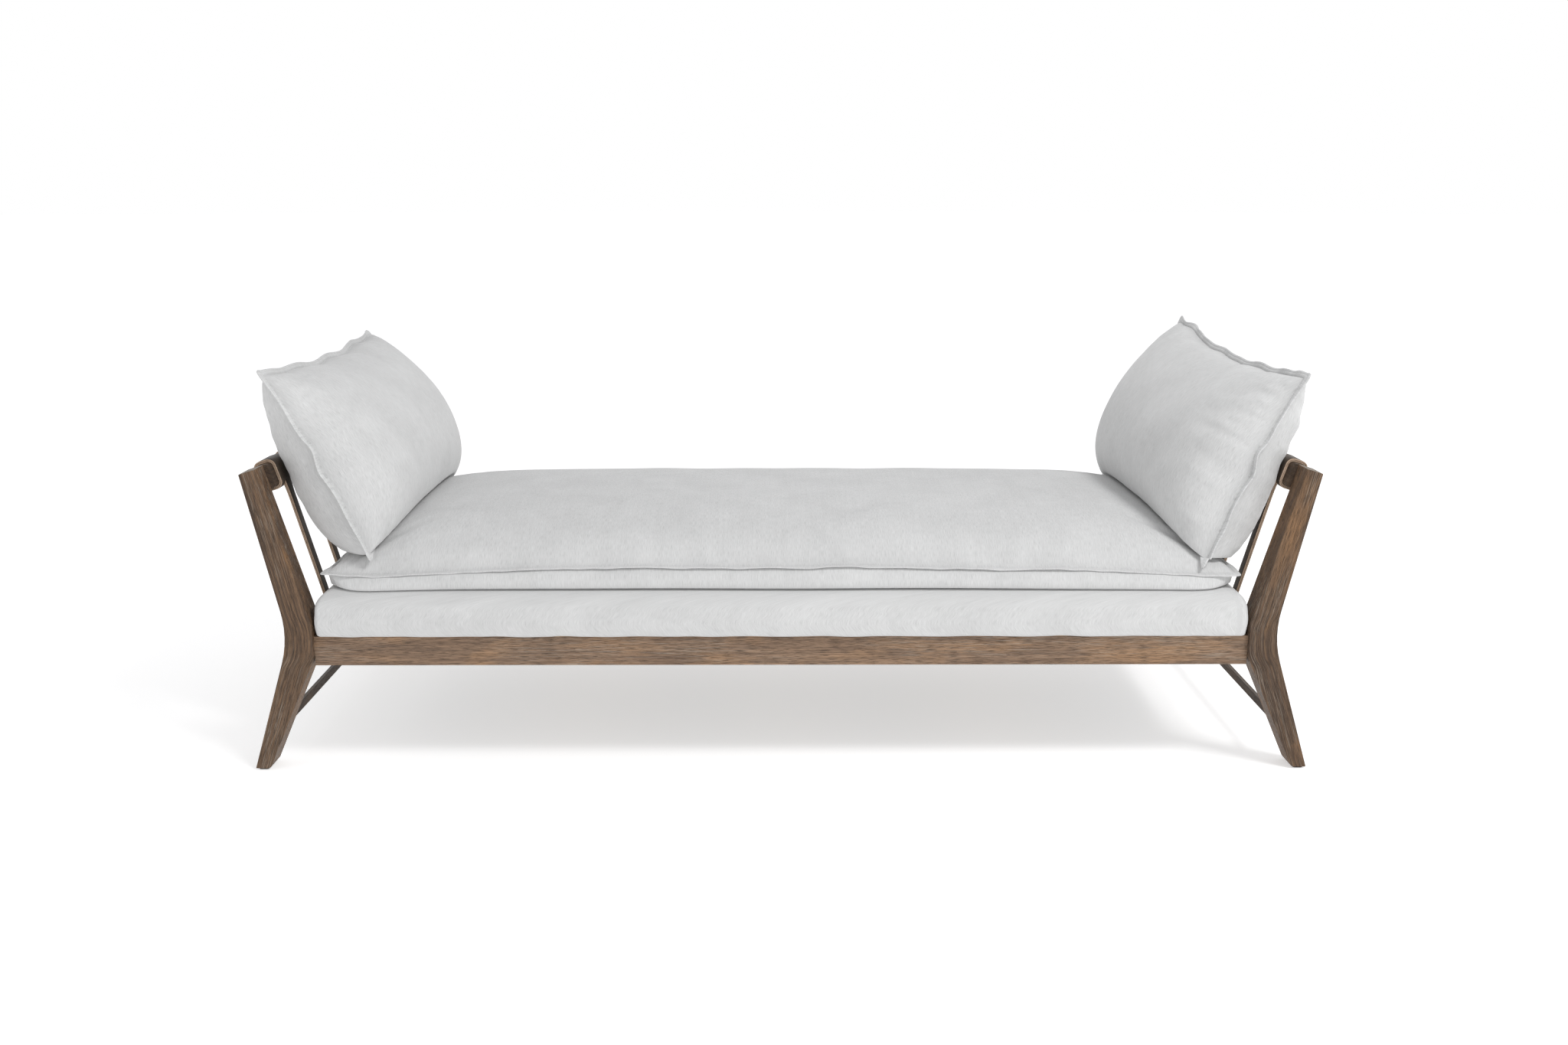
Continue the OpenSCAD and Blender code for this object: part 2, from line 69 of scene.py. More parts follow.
# Straps: two layers of leather, a wide loop round the crossrail and a narrow tail.
STRAP_COUNT = 6
STRAP_T = 0.0064
LAYER_T = 0.0030
LOOP_W = 0.072
TAIL_W = 0.026
TAIL_BEND = (0.9289, 0.338)
TAIL_TOP = (0.9962, 0.5876)
TAIL_END_Z = 0.228

# Pillows: lower seam line, tilt, size between the seams, and fullness of face and back.
PILLOW_FOOT = (0.815, -0.002, 0.431)
PILLOW_TILT = math.radians(26.4)
PILLOW_TURN = {"left": 0.0, "right": math.radians(3)}
PILLOW_SLUMP = {"left": 0.003, "right": 0.018}
PILLOW_L = 0.770
PILLOW_H = 0.427
PILLOW_FACE = 0.125
PILLOW_BACK = 0.104
PILLOW_FLANGE = 0.014

# Clearance where cloth rests on something, and the radius of the deck's top edge.
REST_GAP = 0.0015
DECK_EDGE = 0.038

# Cloth simulation: frames it runs for, how much its wrinkles are deepened, and the fabric and air pressure.
CLOTH_FRAMES = 20
WRINKLE_GAIN = 1.2
CLOTH_SETTINGS = {
    "quality": 7, "mass": 0.25, "air_damping": 2.0,
    "tension_stiffness": 22, "compression_stiffness": 12, "shear_stiffness": 6, "bending_stiffness": 0.12,
    "tension_damping": 8, "compression_damping": 8,
    "use_pressure": True, "uniform_pressure_force": 4.0,
    "vertex_group_mass": "hold", "pin_stiffness": 1.0,
    "vertex_group_shrink": "slack", "shrink_min": 0.0,
}

# The photograph's viewpoint, in metres and degrees, and its lens in millimetres.
CAMERA_PLACE = (-0.0067, -3.219, 1.1617)
CAMERA_DOWN = 13.0
CAMERA_YAW = -0.236
CAMERA_LENS = 33.75

# The key light, and how bright the sky is overhead.
KEY_PLACE = Vector((2.3, -2.3, 4.2))
KEY_AIM = Vector((0.0, 0.0, 0.4))
KEY_SIZE = (1.4, 1.0)
KEY_POWER = 112
SKY_OVERHEAD = (0.57, 0.57, 0.58)


# ---------- small tools ----------

def smooth_step(t):
    t = np.clip(t, 0, 1)
    return t * t * (3 - 2 * t)


def lerp(a, b, t):
    return a + (b - a) * t


def unit(v):
    v = np.asarray(v, float)
    return v / np.maximum(np.linalg.norm(v, axis=-1, keepdims=True), 1e-12)


class Ripple:
    """A smooth, repeatable wave along one or two directions, from -1 to 1."""

    def __init__(self, seed, shortest, longest, terms=9, dims=1):
        draw = random.Random(seed)
        self.terms = []
        for _ in range(terms):
            length = math.exp(lerp(math.log(shortest), math.log(longest), draw.random()))
            angle = draw.uniform(0, math.tau) if dims == 2 else 0.0
            k = math.tau / length
            self.terms.append((k * math.cos(angle), k * math.sin(angle), draw.uniform(0, math.tau)))
        self.scale = 1 / math.sqrt(terms / 2) / 1.6

    def __call__(self, u, v=0.0):
        total = sum(np.sin(ku * u + kv * v + phase) for ku, kv, phase in self.terms)
        return total * self.scale


def new_object(name, points, faces, materials, face_material=None):
    mesh = bpy.data.meshes.new(name)
    mesh.from_pydata([tuple(map(float, p)) for p in points], [], [tuple(f) for f in faces])
    mesh.validate()
    for material in materials:
        mesh.materials.append(material)
    if face_material is not None:
        mesh.polygons.foreach_set("material_index", np.asarray(face_material, np.int32))
    mesh.polygons.foreach_set("use_smooth", [True] * len(mesh.polygons))
    mesh.update()
    obj = bpy.data.objects.new(name, mesh)
    bpy.context.scene.collection.objects.link(obj)
    return obj


def set_weave(obj, coords):
    """Stores where each point lies on the flat cloth, in metres, for the fabric material."""
    attribute = obj.data.attributes.new("weave", "FLOAT_VECTOR", "POINT")
    attribute.data.foreach_set("vector", np.asarray(coords, np.float32).ravel())


def subdivide(obj):
    modifier = obj.modifiers.new("Subdivision", "SUBSURF")
    modifier.levels = 1
    modifier.render_levels = 1


# ---------- materials ----------

class Shade:
    """A short way to write one node material."""

    def __init__(self, name, roughness=0.6, **sockets):
        self.material = bpy.data.materials.new(name)
        self.material.use_nodes = True
        self.tree = self.material.node_tree
        self.bsdf = self.tree.nodes["Principled BSDF"]
        self.bsdf.inputs["Roughness"].default_value = roughness
        for socket, value in sockets.items():
            self.bsdf.inputs[socket.replace("_", " ")].default_value = value

    def node(self, kind, **settings):
        made = self.tree.nodes.new("ShaderNode" + kind)
        for key, value in settings.items():
            setattr(made, key, value)
        return made

    def put(self, socket, value):
        if isinstance(value, bpy.types.NodeSocket):
            self.tree.links.new(value, socket)
        else:
            socket.default_value = value

    def build(self, kind, output, **sockets):
        """Adds a node, fills its sockets (an underscore stands for a space) and returns one output."""
        made = self.node(kind)
        for socket, value in sockets.items():
            self.put(made.inputs[socket.replace("_", " ")], value)
        return made.outputs[output]

    def place(self):
        return self.node("TexCoord").outputs["Object"]

    def scaled(self, vector, scale, shift=(0, 0, 0)):
        return self.build("Mapping", "Vector", Vector=vector, Scale=scale, Location=shift)

    def noise(self, vector, scale=1.0, detail=2.0, rough=0.5, warp=0.0):
        return self.build("TexNoise", "Fac", Vector=vector, Scale=scale, Detail=detail, Roughness=rough,
                          Distortion=warp)

    def cells(self, vector, scale):
        return self.build("TexVoronoi", "Distance", Vector=vector, Scale=scale)

    def math(self, operation, a, b=0.0):
        made = self.node("Math", operation=operation)
        self.put(made.inputs[0], a)
        self.put(made.inputs[1], b)
        return made.outputs[0]

    def ramp(self, fac, stops):
        made = self.node("ValToRGB")
        self.put(made.inputs["Fac"], fac)
        elements = made.color_ramp.elements
        while len(elements) < len(stops):
            elements.new(0.5)
        for element, (at, colour) in zip(elements, stops):
            element.position = at
            element.color = (*colour, 1)
        return made.outputs["Color"]

    def between(self, fac, low, high, to_low=0.0, to_high=1.0):
        return self.build("MapRange", "Result", Value=fac, From_Min=low, From_Max=high, To_Min=to_low,
                          To_Max=to_high)

    def mix(self, fac, under, over):
        made = self.node("Mix", data_type="RGBA")
        self.put(made.inputs["Factor"], fac)
        self.put(made.inputs[6], under)
        self.put(made.inputs[7], (*over, 1) if isinstance(over, tuple) else over)
        return made.outputs[2]

    def bump(self, height, distance, strength):
        return self.build("Bump", "Normal", Height=height, Distance=distance, Strength=strength)

    def finish(self, colour, roughness=None, normal=None):
        for socket, value in (("Base Color", colour), ("Roughness", roughness), ("Normal", normal)):
            if value is not None:
                self.put(self.bsdf.inputs[socket], value)
        return self.material


def fabric(name, tint, seed):
    """Pale heathered cloth: fine uneven yarns along the warp, cross yarns, and a soft nap."""
    s = Shade(name, roughness=0.92, Sheen_Weight=0.25, Sheen_Roughness=0.45, Specular_IOR_Level=0.25)
    lie = s.node("Attribute", attribute_name="weave").outputs["Vector"]
    weave = s.scaled(lie, (1, 1, 1), (seed * 3.7, seed * 1.9, seed * 0.6))
    slub = s.noise(s.scaled(weave, (1150, 70, 40)), detail=2.0, rough=0.6)
    yarn = s.noise(s.scaled(weave, (2300, 420, 60)), detail=1.0)
    cross = s.noise(s.scaled(weave, (160, 1900, 60)), detail=1.0)
    streak = s.noise(s.scaled(weave, (320, 9, 6)), detail=3.0, rough=0.55)
    nap = s.noise(weave, scale=11, detail=3.0, rough=0.55, warp=0.6)
    dark = tuple(c * 0.74 for c in tint)
    light = tuple(min(1.0, c * 1.16) for c in tint)
    colour = s.ramp(slub, [(0.28, dark), (0.5, tint), (0.72, light)])
    colour = s.mix(0.18, colour, s.ramp(streak, [(0.3, dark), (0.7, light)]))
    colour = s.mix(0.22, colour, s.ramp(nap, [(0.3, dark), (0.7, light)]))
    fuzz = s.math("ADD", s.math("MULTIPLY", slub, 0.6), s.math("MULTIPLY", yarn, 0.5))
    height = s.math("ADD", fuzz, s.math("MULTIPLY", cross, 0.35))
    return s.finish(colour, s.between(nap, 0.3, 0.7, 0.88, 0.97), s.bump(height, 0.0006, 0.55))


def wood_coordinates(s, run):
    """The grain's own directions: X across, Y along the piece, Z through it."""
    split = s.node("SeparateXYZ")
    s.put(split.inputs[0], s.place())
    x, y, z = split.outputs
    join = s.node("CombineXYZ")
    if run == "leg":
        # The leg's bent centre line, as its distance from the middle of the daybed at each height.
        curve = s.node("FloatCurve")
        line = curve.mapping.curves[0]
        line.points[0].location = (0.0, 0.90)
        line.points[1].location = (1.0, 0.76)
        for height, reach in ((0.44, 0.03), (0.34, 0.22), (0.54, 0.14)):
            line.points.new(height, reach)
        curve.mapping.update()
        s.put(curve.inputs["Value"], s.math("DIVIDE", z, 0.62))
        centre = s.math("ADD", s.math("MULTIPLY", curve.outputs[0], 0.1), 0.958)
        across = s.math("SUBTRACT", s.math("ABSOLUTE", x), centre)
        turns = (across, z, s.math("ADD", y, s.math("MULTIPLY", s.math("SIGN", x), 0.7)))
    elif run == "x":
        turns = (z, x, y)
    else:
        turns = (z, y, x)
    for socket, value in zip(join.inputs, turns):
        s.put(socket, value)
    return join.outputs[0], z


def wood(name, run, tone, pale, dark, ceruse, end_grain_and_reflection=False):
    """Brushed hardwood: broad colour bands, growth lines, dark pores, and pale filler left in the grain. On
    request, a light grey on the top faces that is partly end grain, partly painted reflection.
    """
    s = Shade(name, roughness=0.55, Specular_IOR_Level=0.35)
    grain, height = wood_coordinates(s, run)

    def growth(scale, shift=(0, 0, 0), **settings):
        return s.noise(s.scaled(grain, scale, shift), **settings)

    board = growth((9, 1.6, 9), detail=3.0, warp=0.4)
    rings = growth((210, 3.2, 100), detail=4.0, rough=0.6, warp=0.3)
    lines = growth((420, 7, 240), detail=3.0, rough=0.6)
    pores = growth((1500, 42, 800), rough=0.6)
    filler = growth((900, 14, 500), rough=0.6)
    patch = growth((16, 5, 14))
    colour = s.ramp(board, [(0.30, dark), (0.50, tone), (0.72, pale)])
    colour = s.mix(0.48, colour, s.ramp(rings, [(0.34, dark), (0.51, tone), (0.66, pale)]))
    colour = s.mix(s.between(lines, 0.46, 0.64, 0.0, 0.62), colour, dark)
    honey = growth((22, 5, 22), (3, 1, 5), detail=3.0, rough=0.6, warp=0.5)
    honey_tone = (pale[0] * 1.12, pale[1] * 0.98, pale[2] * 0.78)
    colour = s.mix(s.between(honey, 0.50, 0.68, 0.0, 0.55), colour, honey_tone)
    white = s.math("MULTIPLY", s.between(filler, 0.52, 0.66), s.between(patch, 0.40, 0.66, 0.06, 0.70))
    colour = s.mix(white, colour, ceruse)
    pore = s.between(pores, 0.54, 0.66)
    colour = s.mix(s.math("MULTIPLY", pore, 0.75), colour, tuple(c * 0.35 for c in dark))
    # Upward faces near the leg tops take a light grey: partly the pale end grain of the cut, partly a painted
    # reflection of the bright sky.
    if end_grain_and_reflection:
        facing = s.build("SeparateXYZ", "Z", Vector=s.node("NewGeometry").outputs["Normal"])
        cut = s.between(facing, 0.80, 0.92)
        high = s.between(height, 0.50, 0.56)
        speckle = s.noise(s.scaled(s.place(), (700, 700, 200)), detail=3.0, rough=0.7)
        end_grain_reflection_grey = s.ramp(speckle, [(0.35, tuple(c * 0.55 for c in ceruse)), (0.62, ceruse)])
        colour = s.mix(s.math("MULTIPLY", s.math("MULTIPLY", cut, high), 0.8), colour, end_grain_reflection_grey)
    relief = s.math("SUBTRACT", s.math("MULTIPLY", rings, 0.5), s.math("MULTIPLY", pore, 0.8))
    relief = s.math("ADD", relief, s.math("MULTIPLY", lines, -0.35))
    return s.finish(colour, s.between(rings, 0.3, 0.7, 0.48, 0.66), s.bump(relief, 0.0007, 0.8))


def leather_face():
    """Dark waxed saddle leather: fine pebble grain, creases and rubbed patches."""
    s = Shade("strap_leather_face", roughness=0.5, Specular_IOR_Level=0.5)
    place = s.place()
    wear = s.noise(place, scale=26, detail=4.0, rough=0.6, warp=0.5)
    fibre = s.noise(s.scaled(place, (500, 500, 60)), detail=2.0)
    stops = [(0.30, (0.030, 0.021, 0.014)), (0.52, (0.055, 0.038, 0.026)), (0.75, (0.105, 0.072, 0.050))]
    colour = s.ramp(wear, stops)
    colour = s.mix(s.between(fibre, 0.55, 0.75, 0, 0.4), colour, (0.13, 0.095, 0.066))
    pebble = s.cells(place, 1400)
    height = s.math("ADD", pebble, s.math("MULTIPLY", s.noise(place, scale=340, detail=2.0), 0.8))
    return s.finish(colour, s.between(wear, 0.3, 0.7, 0.42, 0.62), s.bump(height, 0.0003, 0.6))


def leather_edge():
    """The raw cut edge of the same leather: tan and fibrous."""
    s = Shade("strap_leather_edge", roughness=0.85)
    place = s.place()
    fibre = s.noise(place, scale=900, detail=3.0, rough=0.7)
    stain = s.noise(place, scale=60, detail=2.0)
    stops = [(0.3, (0.30, 0.205, 0.14)), (0.55, (0.45, 0.33, 0.24)), (0.75, (0.55, 0.43, 0.33))]
    colour = s.ramp(fibre, stops)
    colour = s.mix(s.between(stain, 0.52, 0.75, 0, 0.5), colour, (0.12, 0.075, 0.05))
    return s.finish(colour, None, s.bump(fibre, 0.0003, 0.7))


def metal(name, tone, roughness, tarnish):
    s = Shade(name, roughness=roughness, Metallic=1.0)
    place = s.place()
    spots = s.noise(place, scale=240, detail=3.0, rough=0.65)
    scratches = s.noise(s.scaled(place, (2400, 300, 300)), detail=1.0)
    colour = s.ramp(spots, [(0.35, tarnish), (0.65, tone)])
    gloss = s.between(spots, 0.3, 0.7, roughness + 0.15, roughness - 0.05)
    return s.finish(colour, gloss, s.bump(scratches, 0.0001, 0.4))


def plain(name, tone, scale, roughness, depth):
    """Glides, webbing, foam and other pieces seen little or not at all: mottled, with a fine texture."""
    s = Shade(name, roughness=roughness)
    place = s.place()
    grain = s.noise(place, scale=scale, detail=3.0, rough=0.6)
    low = tuple(c * 0.75 for c in tone)
    high = tuple(min(1.0, c * 1.25) for c in tone)
    return s.finish(s.ramp(grain, [(0.3, low), (0.7, high)]), None, s.bump(grain, depth, 0.6))


def floor_material():
    """Pale floor that glows a little, so that it stays white away from the daybed's own soft shadow."""
    s = Shade("studio_floor", roughness=0.9, Specular_IOR_Level=0.1,
              Emission_Color=(1, 1, 1, 1), Emission_Strength=0.50)
    grain = s.noise(s.place(), scale=90, detail=2.0)
    return s.finish(s.ramp(grain, [(0.0, (0.76, 0.76, 0.76)), (1.0, (0.79, 0.79, 0.79))]))


CLOTH = (0.575, 0.577, 0.575)
CERUSE = (0.33, 0.285, 0.235)
FACE_FABRIC = fabric("cover_fabric_cushions", CLOTH, 1)
# The deck's copy of the same cloth is 2% lighter: painted light, standing in for the brighter light on the
# deck's front.
DECK_FABRIC_PAINTED_LIGHTER = fabric("cover_fabric_deck_painted_lighter", tuple(c * 1.02 for c in CLOTH), 2)
LEATHER_FACE = leather_face()
LEATHER_EDGE = leather_edge()
DUST_CLOTH = plain("dust_cloth_weave", (0.014, 0.014, 0.016), 1600, 0.95, 0.0002)
# The woods' colours: tone, pale, dark, and the filler left in the grain.
FINISHES = {
    "leg_wood": wood("leg_wood_grain", "leg", (0.138, 0.080, 0.044), (0.232, 0.140, 0.077),
                     (0.038, 0.022, 0.013), CERUSE, end_grain_and_reflection=True),
    "rail_wood": wood("rail_wood_grain", "x", (0.240, 0.152, 0.096), (0.335, 0.222, 0.143),
                      (0.096, 0.060, 0.040), CERUSE),
    "end_rail_wood": wood("end_rail_wood_grain", "y", (0.165, 0.102, 0.061), (0.23, 0.150, 0.093),
                          (0.072, 0.044, 0.029), CERUSE),
    "dark_wood": wood("dark_wood_grain", "y", (0.070, 0.044, 0.028), (0.115, 0.076, 0.048),
                      (0.030, 0.019, 0.013), (0.14, 0.11, 0.08)),
    "inner_wood": wood("inner_wood_grain", "x", (0.50, 0.35, 0.20), (0.62, 0.46, 0.28),
                       (0.36, 0.24, 0.13), (0.66, 0.52, 0.36)),
    "screw_brass": metal("screw_brass_aged", (0.42, 0.31, 0.16), 0.38, (0.16, 0.11, 0.06)),
    "zinc_steel": metal("zinc_steel_bright", (0.55, 0.54, 0.50), 0.35, (0.30, 0.29, 0.27)),
    "glide_plastic": plain("glide_plastic_matte", (0.020, 0.018, 0.017), 900, 0.6, 0.0001),
    "webbing": plain("webbing_elastic", (0.030, 0.030, 0.030), 700, 0.9, 0.0004),
    "foam": plain("foam_open_cell", (0.80, 0.72, 0.45), 600, 0.95, 0.0006),
    "fibre_wrap": plain("fibre_wrap_batting", (0.85, 0.85, 0.83), 250, 0.97, 0.0015),
    "strap_leather": LEATHER_FACE,
    "cover_fabric": DECK_FABRIC_PAINTED_LIGHTER,
    "dust_cloth": DUST_CLOTH,
}
# Width of the eased edges on each kind of part that has them.
EASED_EDGES = {"leg_wood": 0.0014, "rail_wood": 0.0012, "dark_wood": 0.0008, "inner_wood": 0.0008,
               "glide_plastic": 0.0006}


def finish_cad_nodes():
    """Every carried-over CAD node gets its material and clean shading; the parts whose slot is listed in
    EASED_EDGES, bolt plugs aside, also get eased edges.
    """
    slots = {part["node"]: part["material_slot"] for part in frame["record"]["subparts"]}
    for name, obj in NODES.items():
        slot = slots[name]
        finish = FINISHES["end_rail_wood" if name.startswith("end_rail") else slot]
        if not obj.material_slots:
            obj.data.materials.append(finish)
        for place in obj.material_slots:
            place.material = finish
        obj.data.polygons.foreach_set("use_smooth", [True] * len(obj.data.polygons))
        weld = obj.modifiers.new("Weld", "WELD")
        weld.merge_threshold = 0.00002
        if slot in EASED_EDGES and name != "bolt_plugs":
            flat = obj.modifiers.new("Flat faces", "DECIMATE")
            flat.decimate_type = "DISSOLVE"
            flat.angle_limit = math.radians(0.6)
            bevel = obj.modifiers.new("Eased edges", "BEVEL")
            bevel.width = EASED_EDGES[slot]
            bevel.segments = 3
            bevel.limit_method = "ANGLE"
            bevel.angle_limit = math.radians(32)
            bevel.miter_outer = "MITER_ARC"
        shade = obj.modifiers.new("Shading", "WEIGHTED_NORMAL")
        shade.mode = "FACE_AREA"
        shade.weight = 90
        shade.keep_sharp = False


# ---------- shapes that the cushions rest on ----------

MATTRESS_WAVE = Ripple(11, 0.34, 1.1)
MATTRESS_DIMPLE = Ripple(12, 0.16, 0.5, terms=14, dims=2)


def mattress_seam(s, t):
    """Height of the mattress's seam plane: it droops to the corners and wanders a little along the edge."""
    droop = 0.014 * smooth_step((np.abs(s) - 0.35) / 0.55) - 0.002 * np.abs(s) ** 40
    wander = 0.0036 * MATTRESS_WAVE(s * MATTRESS_X + 0.3 * t) * np.abs(t) ** 6
    return SEAM_Z - 0.001 - droop + wander


def mattress_top(s, t):
    """Top of the mattress at shares s and t of its half length and half depth."""
    rise_x = np.maximum(0, 1 - np.abs(s) ** 9) ** 0.60
    rise_y = np.maximum(0, 1 - np.abs(t) ** 3.4) ** 0.60
    dimple = 0.0012 * MATTRESS_DIMPLE(s * MATTRESS_X, t * MATTRESS_Y) * rise_x * rise_y
    crown = SEAM_Z + MATTRESS_RISE - 0.008 - 0.006 * np.abs(s) ** 2.4
    seam = mattress_seam(s, t)
    return seam + (crown - seam) * rise_x * rise_y + dimple


def deck_surface(x, y):
    """Top of the deck, which rounds down towards its edges."""
    inset = np.minimum(DECK_HIGH.x - np.abs(x), DECK_HIGH.y - np.abs(y))
    short = np.clip(DECK_EDGE - inset, 0, DECK_EDGE)
    return DECK_HIGH.z - (DECK_EDGE - np.sqrt(DECK_EDGE ** 2 - short ** 2))


def lean_line(z):
    """Inner face of the strap tails and loops at a height, easing away above the crossrail."""
    slope = (TAIL_TOP[0] - TAIL_BEND[0]) / (TAIL_TOP[1] - TAIL_BEND[1])
    tail = TAIL_BEND[0] + np.clip(z - TAIL_BEND[1], 0, TAIL_TOP[1] - TAIL_BEND[1]) * slope
    above = np.maximum(0, z - TAIL_TOP[1]) * math.tan(LEAN)
    return tail + above + 2.5 * np.maximum(0, z - RAIL_CORNER[1]) ** 2


def soft_limit(value, limit, soft):
    """Keeps value below limit, easing towards it over the distance soft."""
    return limit - soft * np.logaddexp(0, (limit - value) / soft)


def bed_under(x, y):
    """Height of the mattress's top under a point."""
    return mattress_top(np.clip(x / MATTRESS_X, -1, 1), np.clip(y / MATTRESS_Y, -1, 1)) + REST_GAP


def press_pillow(points):
    """Dents pillow points, given for the right-hand side, where they meet the mattress and the straps."""
    x, y, z = points.T
    z = -soft_limit(-z, -bed_under(x, y), 0.0015)
    x = soft_limit(x, lean_line(z) - REST_GAP, 0.003)
    return np.stack([x, y, z], axis=1)


# ---------- sewn cushions ----------

def warp(count, share):
    """Positions from -1 to 1, closer together towards the ends."""
    x = np.linspace(-1, 1, count + 1)
    return (1 - share) * x + share * np.sin(x * math.pi / 2)


class Panels:
    """Two cloth panels, front and back, that share the points of the seam between them."""

    def __init__(self, nu, nv, warp_u, warp_v):
        self.nu, self.nv = nu, nv
        self.u, self.v = np.meshgrid(warp(nu, warp_u), warp(nv, warp_v), indexing="ij")
        self.front = np.arange((nu + 1) * (nv + 1)).reshape(nu + 1, nv + 1)
        self.back = self.front.copy()
        self.count = self.front.size + (nu - 1) * (nv - 1)
        self.back[1:-1, 1:-1] = np.arange(self.front.size, self.count).reshape(nu - 1, nv - 1)
        # Points round the rim, starting at the low corner, along u first, and the corners' places among them.
        rim = [(i, 0) for i in range(nu)] + [(nu, j) for j in range(nv)]
        rim += [(i, nv) for i in range(nu, 0, -1)] + [(0, j) for j in range(nv, 0, -1)]
        self.rim = np.array([self.front[i, j] for i, j in rim])
        self.corners = (0, nu, nu + nv, 2 * nu + nv)

    def faces(self, swap):
        """Quads of both panels. swap names the points that the back panel uses in place of others."""
        f, b = self.front, self.back
        made = []
        for i in range(self.nu):
            for j in range(self.nv):
                made.append((f[i, j], f[i + 1, j], f[i + 1, j + 1], f[i, j + 1]))
                quad = (b[i, j], b[i, j + 1], b[i + 1, j + 1], b[i + 1, j])
                made.append(tuple(swap.get(int(k), int(k)) for k in quad))
        return made

    def gather(self, front, back):
        points = np.zeros((self.count, 3))
        points[self.back.ravel()] = back.reshape(-1, 3)
        points[self.front.ravel()] = front.reshape(-1, 3)
        return points


def blurred(grid, times):
    """A grid of vectors smoothed a number of times, its border left as it is."""
    soft = grid.copy()
    for _ in range(times):
        inner = soft[1:-1, 1:-1]
        ring = soft[:-2, 1:-1] + soft[2:, 1:-1] + soft[1:-1, :-2] + soft[1:-1, 2:]
        soft[1:-1, 1:-1] = inner * 0.4 + ring * 0.15
    return soft


def swell(name, panels, points, hold, slack, cap, excess, keep, inside_out=False):
    """Cloth simulation: the closed cover fills with air against its held points, and slack cloth wrinkles.

    The simulated movement of a point counts up to cap. Slack cloth is longer than drawn by the share excess.
    The wrinkles are then deepened by WRINKLE_GAIN, and only the share keep of the broad swelling is used."""
    start = points.astype(float)
    faces = panels.faces({})
    if inside_out:
        faces = [tuple(reversed(face)) for face in faces]
    obj = new_object("swell_" + name, start, faces, [])
    for group_name, weights in (("hold", hold), ("slack", slack)):
        group = obj.vertex_groups.new(name=group_name)
        for index, weight in enumerate(weights):
            group.add([index], float(weight), "REPLACE")
    cloth = obj.modifiers.new("Cloth", "CLOTH")
    for key, value in CLOTH_SETTINGS.items():
        setattr(cloth.settings, key, value)
    cloth.settings.shrink_max = -excess
    cloth.settings.effector_weights.gravity = 0
    cloth.collision_settings.use_collision = False
    cloth.point_cache.frame_start = 1
    cloth.point_cache.frame_end = CLOTH_FRAMES
    scene = bpy.context.scene
    for step in range(1, CLOTH_FRAMES + 1):
        scene.frame_set(step)
    shaped = obj.evaluated_get(bpy.context.evaluated_depsgraph_get())
    flat = np.zeros(len(shaped.data.vertices) * 3)
    shaped.data.vertices.foreach_get("co", flat)
    moved = flat.reshape(-1, 3) - start
    scene.frame_set(1)
    bpy.data.objects.remove(obj)
    length = np.linalg.norm(moved, axis=1, keepdims=True)
    moved *= np.minimum(1, cap / np.maximum(length, 1e-9))
    for ids in (panels.front, panels.back):
        grid = moved[ids]
        broad = blurred(grid, 60)
        kept = (grid - broad) * WRINKLE_GAIN + broad * keep
        moved[ids[1:-1, 1:-1].ravel()] = kept[1:-1, 1:-1].reshape(-1, 3)
    return start + moved


def arc_lengths(grid):
    """Distance along the surface from the middle, along each direction of a grid of points."""
    def run(points):
        steps = np.linalg.norm(np.diff(points, axis=0), axis=2)
        total = np.concatenate([np.zeros((1, steps.shape[1])), np.cumsum(steps, axis=0)])
        return total - total[total.shape[0] // 2]
    return run(grid), run(grid.transpose(1, 0, 2)).T


def sew(name, panels, points, outward, axis, section, wave, flop):
    """Closes two panels with a flat flange along the seam, and returns the finished piece.

    section lists the flange's outline as (distance out, height above the seam), from the front panel on.
    wave lifts the flange's outer edge along axis, square to the seam, and flop moves it outwards."""
    rim = panels.rim
    ring = points[rim]
    count = len(rim)
    width = section[-1][0]
    back_cloth = 5.0
    weave = np.zeros((panels.count, 3))
    for ids, offset in ((panels.back, back_cloth), (panels.front, 0.0)):
        along, up = arc_lengths(points[ids])
        weave[ids.ravel()] = np.stack([along.ravel(), up.ravel(), np.full(along.size, offset)], axis=1)
    everything, all_weave, chain = [points], [weave], [rim]
    base = panels.count
    for a, h in section + [(a, -h) for a, h in reversed(section[:-1])]:
        share = (a / width) ** 1.4
        place = ring + outward * (a + flop * share)[:, None] + axis * (h + wave * share)[:, None]
        everything.append(place)
        all_weave.append(weave[rim] + np.column_stack([outward[:, :2] * a, np.zeros(count)]))
        chain.append(np.arange(base, base + count))
        base += count
    # The back panel gets a rim of its own, so that the flange stands between the two panels.
    back_rim = np.arange(base, base + count)
    everything.append(ring)
    back_weave = weave[rim].copy()
    back_weave[:, 2] = back_cloth
    all_weave.append(back_weave)
    chain.append(back_rim)
    faces = panels.faces(dict(zip(rim.tolist(), back_rim.tolist())))
    for low, high in zip(chain[:-1], chain[1:]):
        for k in range(count):
            n = (k + 1) % count
            faces.append((low[k], high[k], high[n], low[n]))
    obj = new_object(name, np.concatenate(everything), faces, [FACE_FABRIC])
    set_weave(obj, np.concatenate(all_weave))
    subdivide(obj)
    return obj


def rim_frame(ring, axis, corners, reach):
    """Outward directions along a rim, in the plane of the seam, with pointed corners reaching further out."""
    ahead = np.roll(ring, -1, axis=0) - np.roll(ring, 1, axis=0)
    outward = unit(np.cross(ahead, axis))
    for corner in corners:
        side_a = unit(np.cross(ring[corner] - ring[corner - 1], axis))
        side_b = unit(np.cross(ring[(corner + 1) % len(ring)] - ring[corner], axis))
        outward[corner] = (side_a + side_b) / (1 + side_a @ side_b) * reach
    return outward


def rim_arc(ring):
    steps = np.linalg.norm(np.roll(ring, -1, axis=0) - ring, axis=1)
    return np.concatenate([[0.0], np.cumsum(steps)[:-1]])


# ---------- mattress ----------

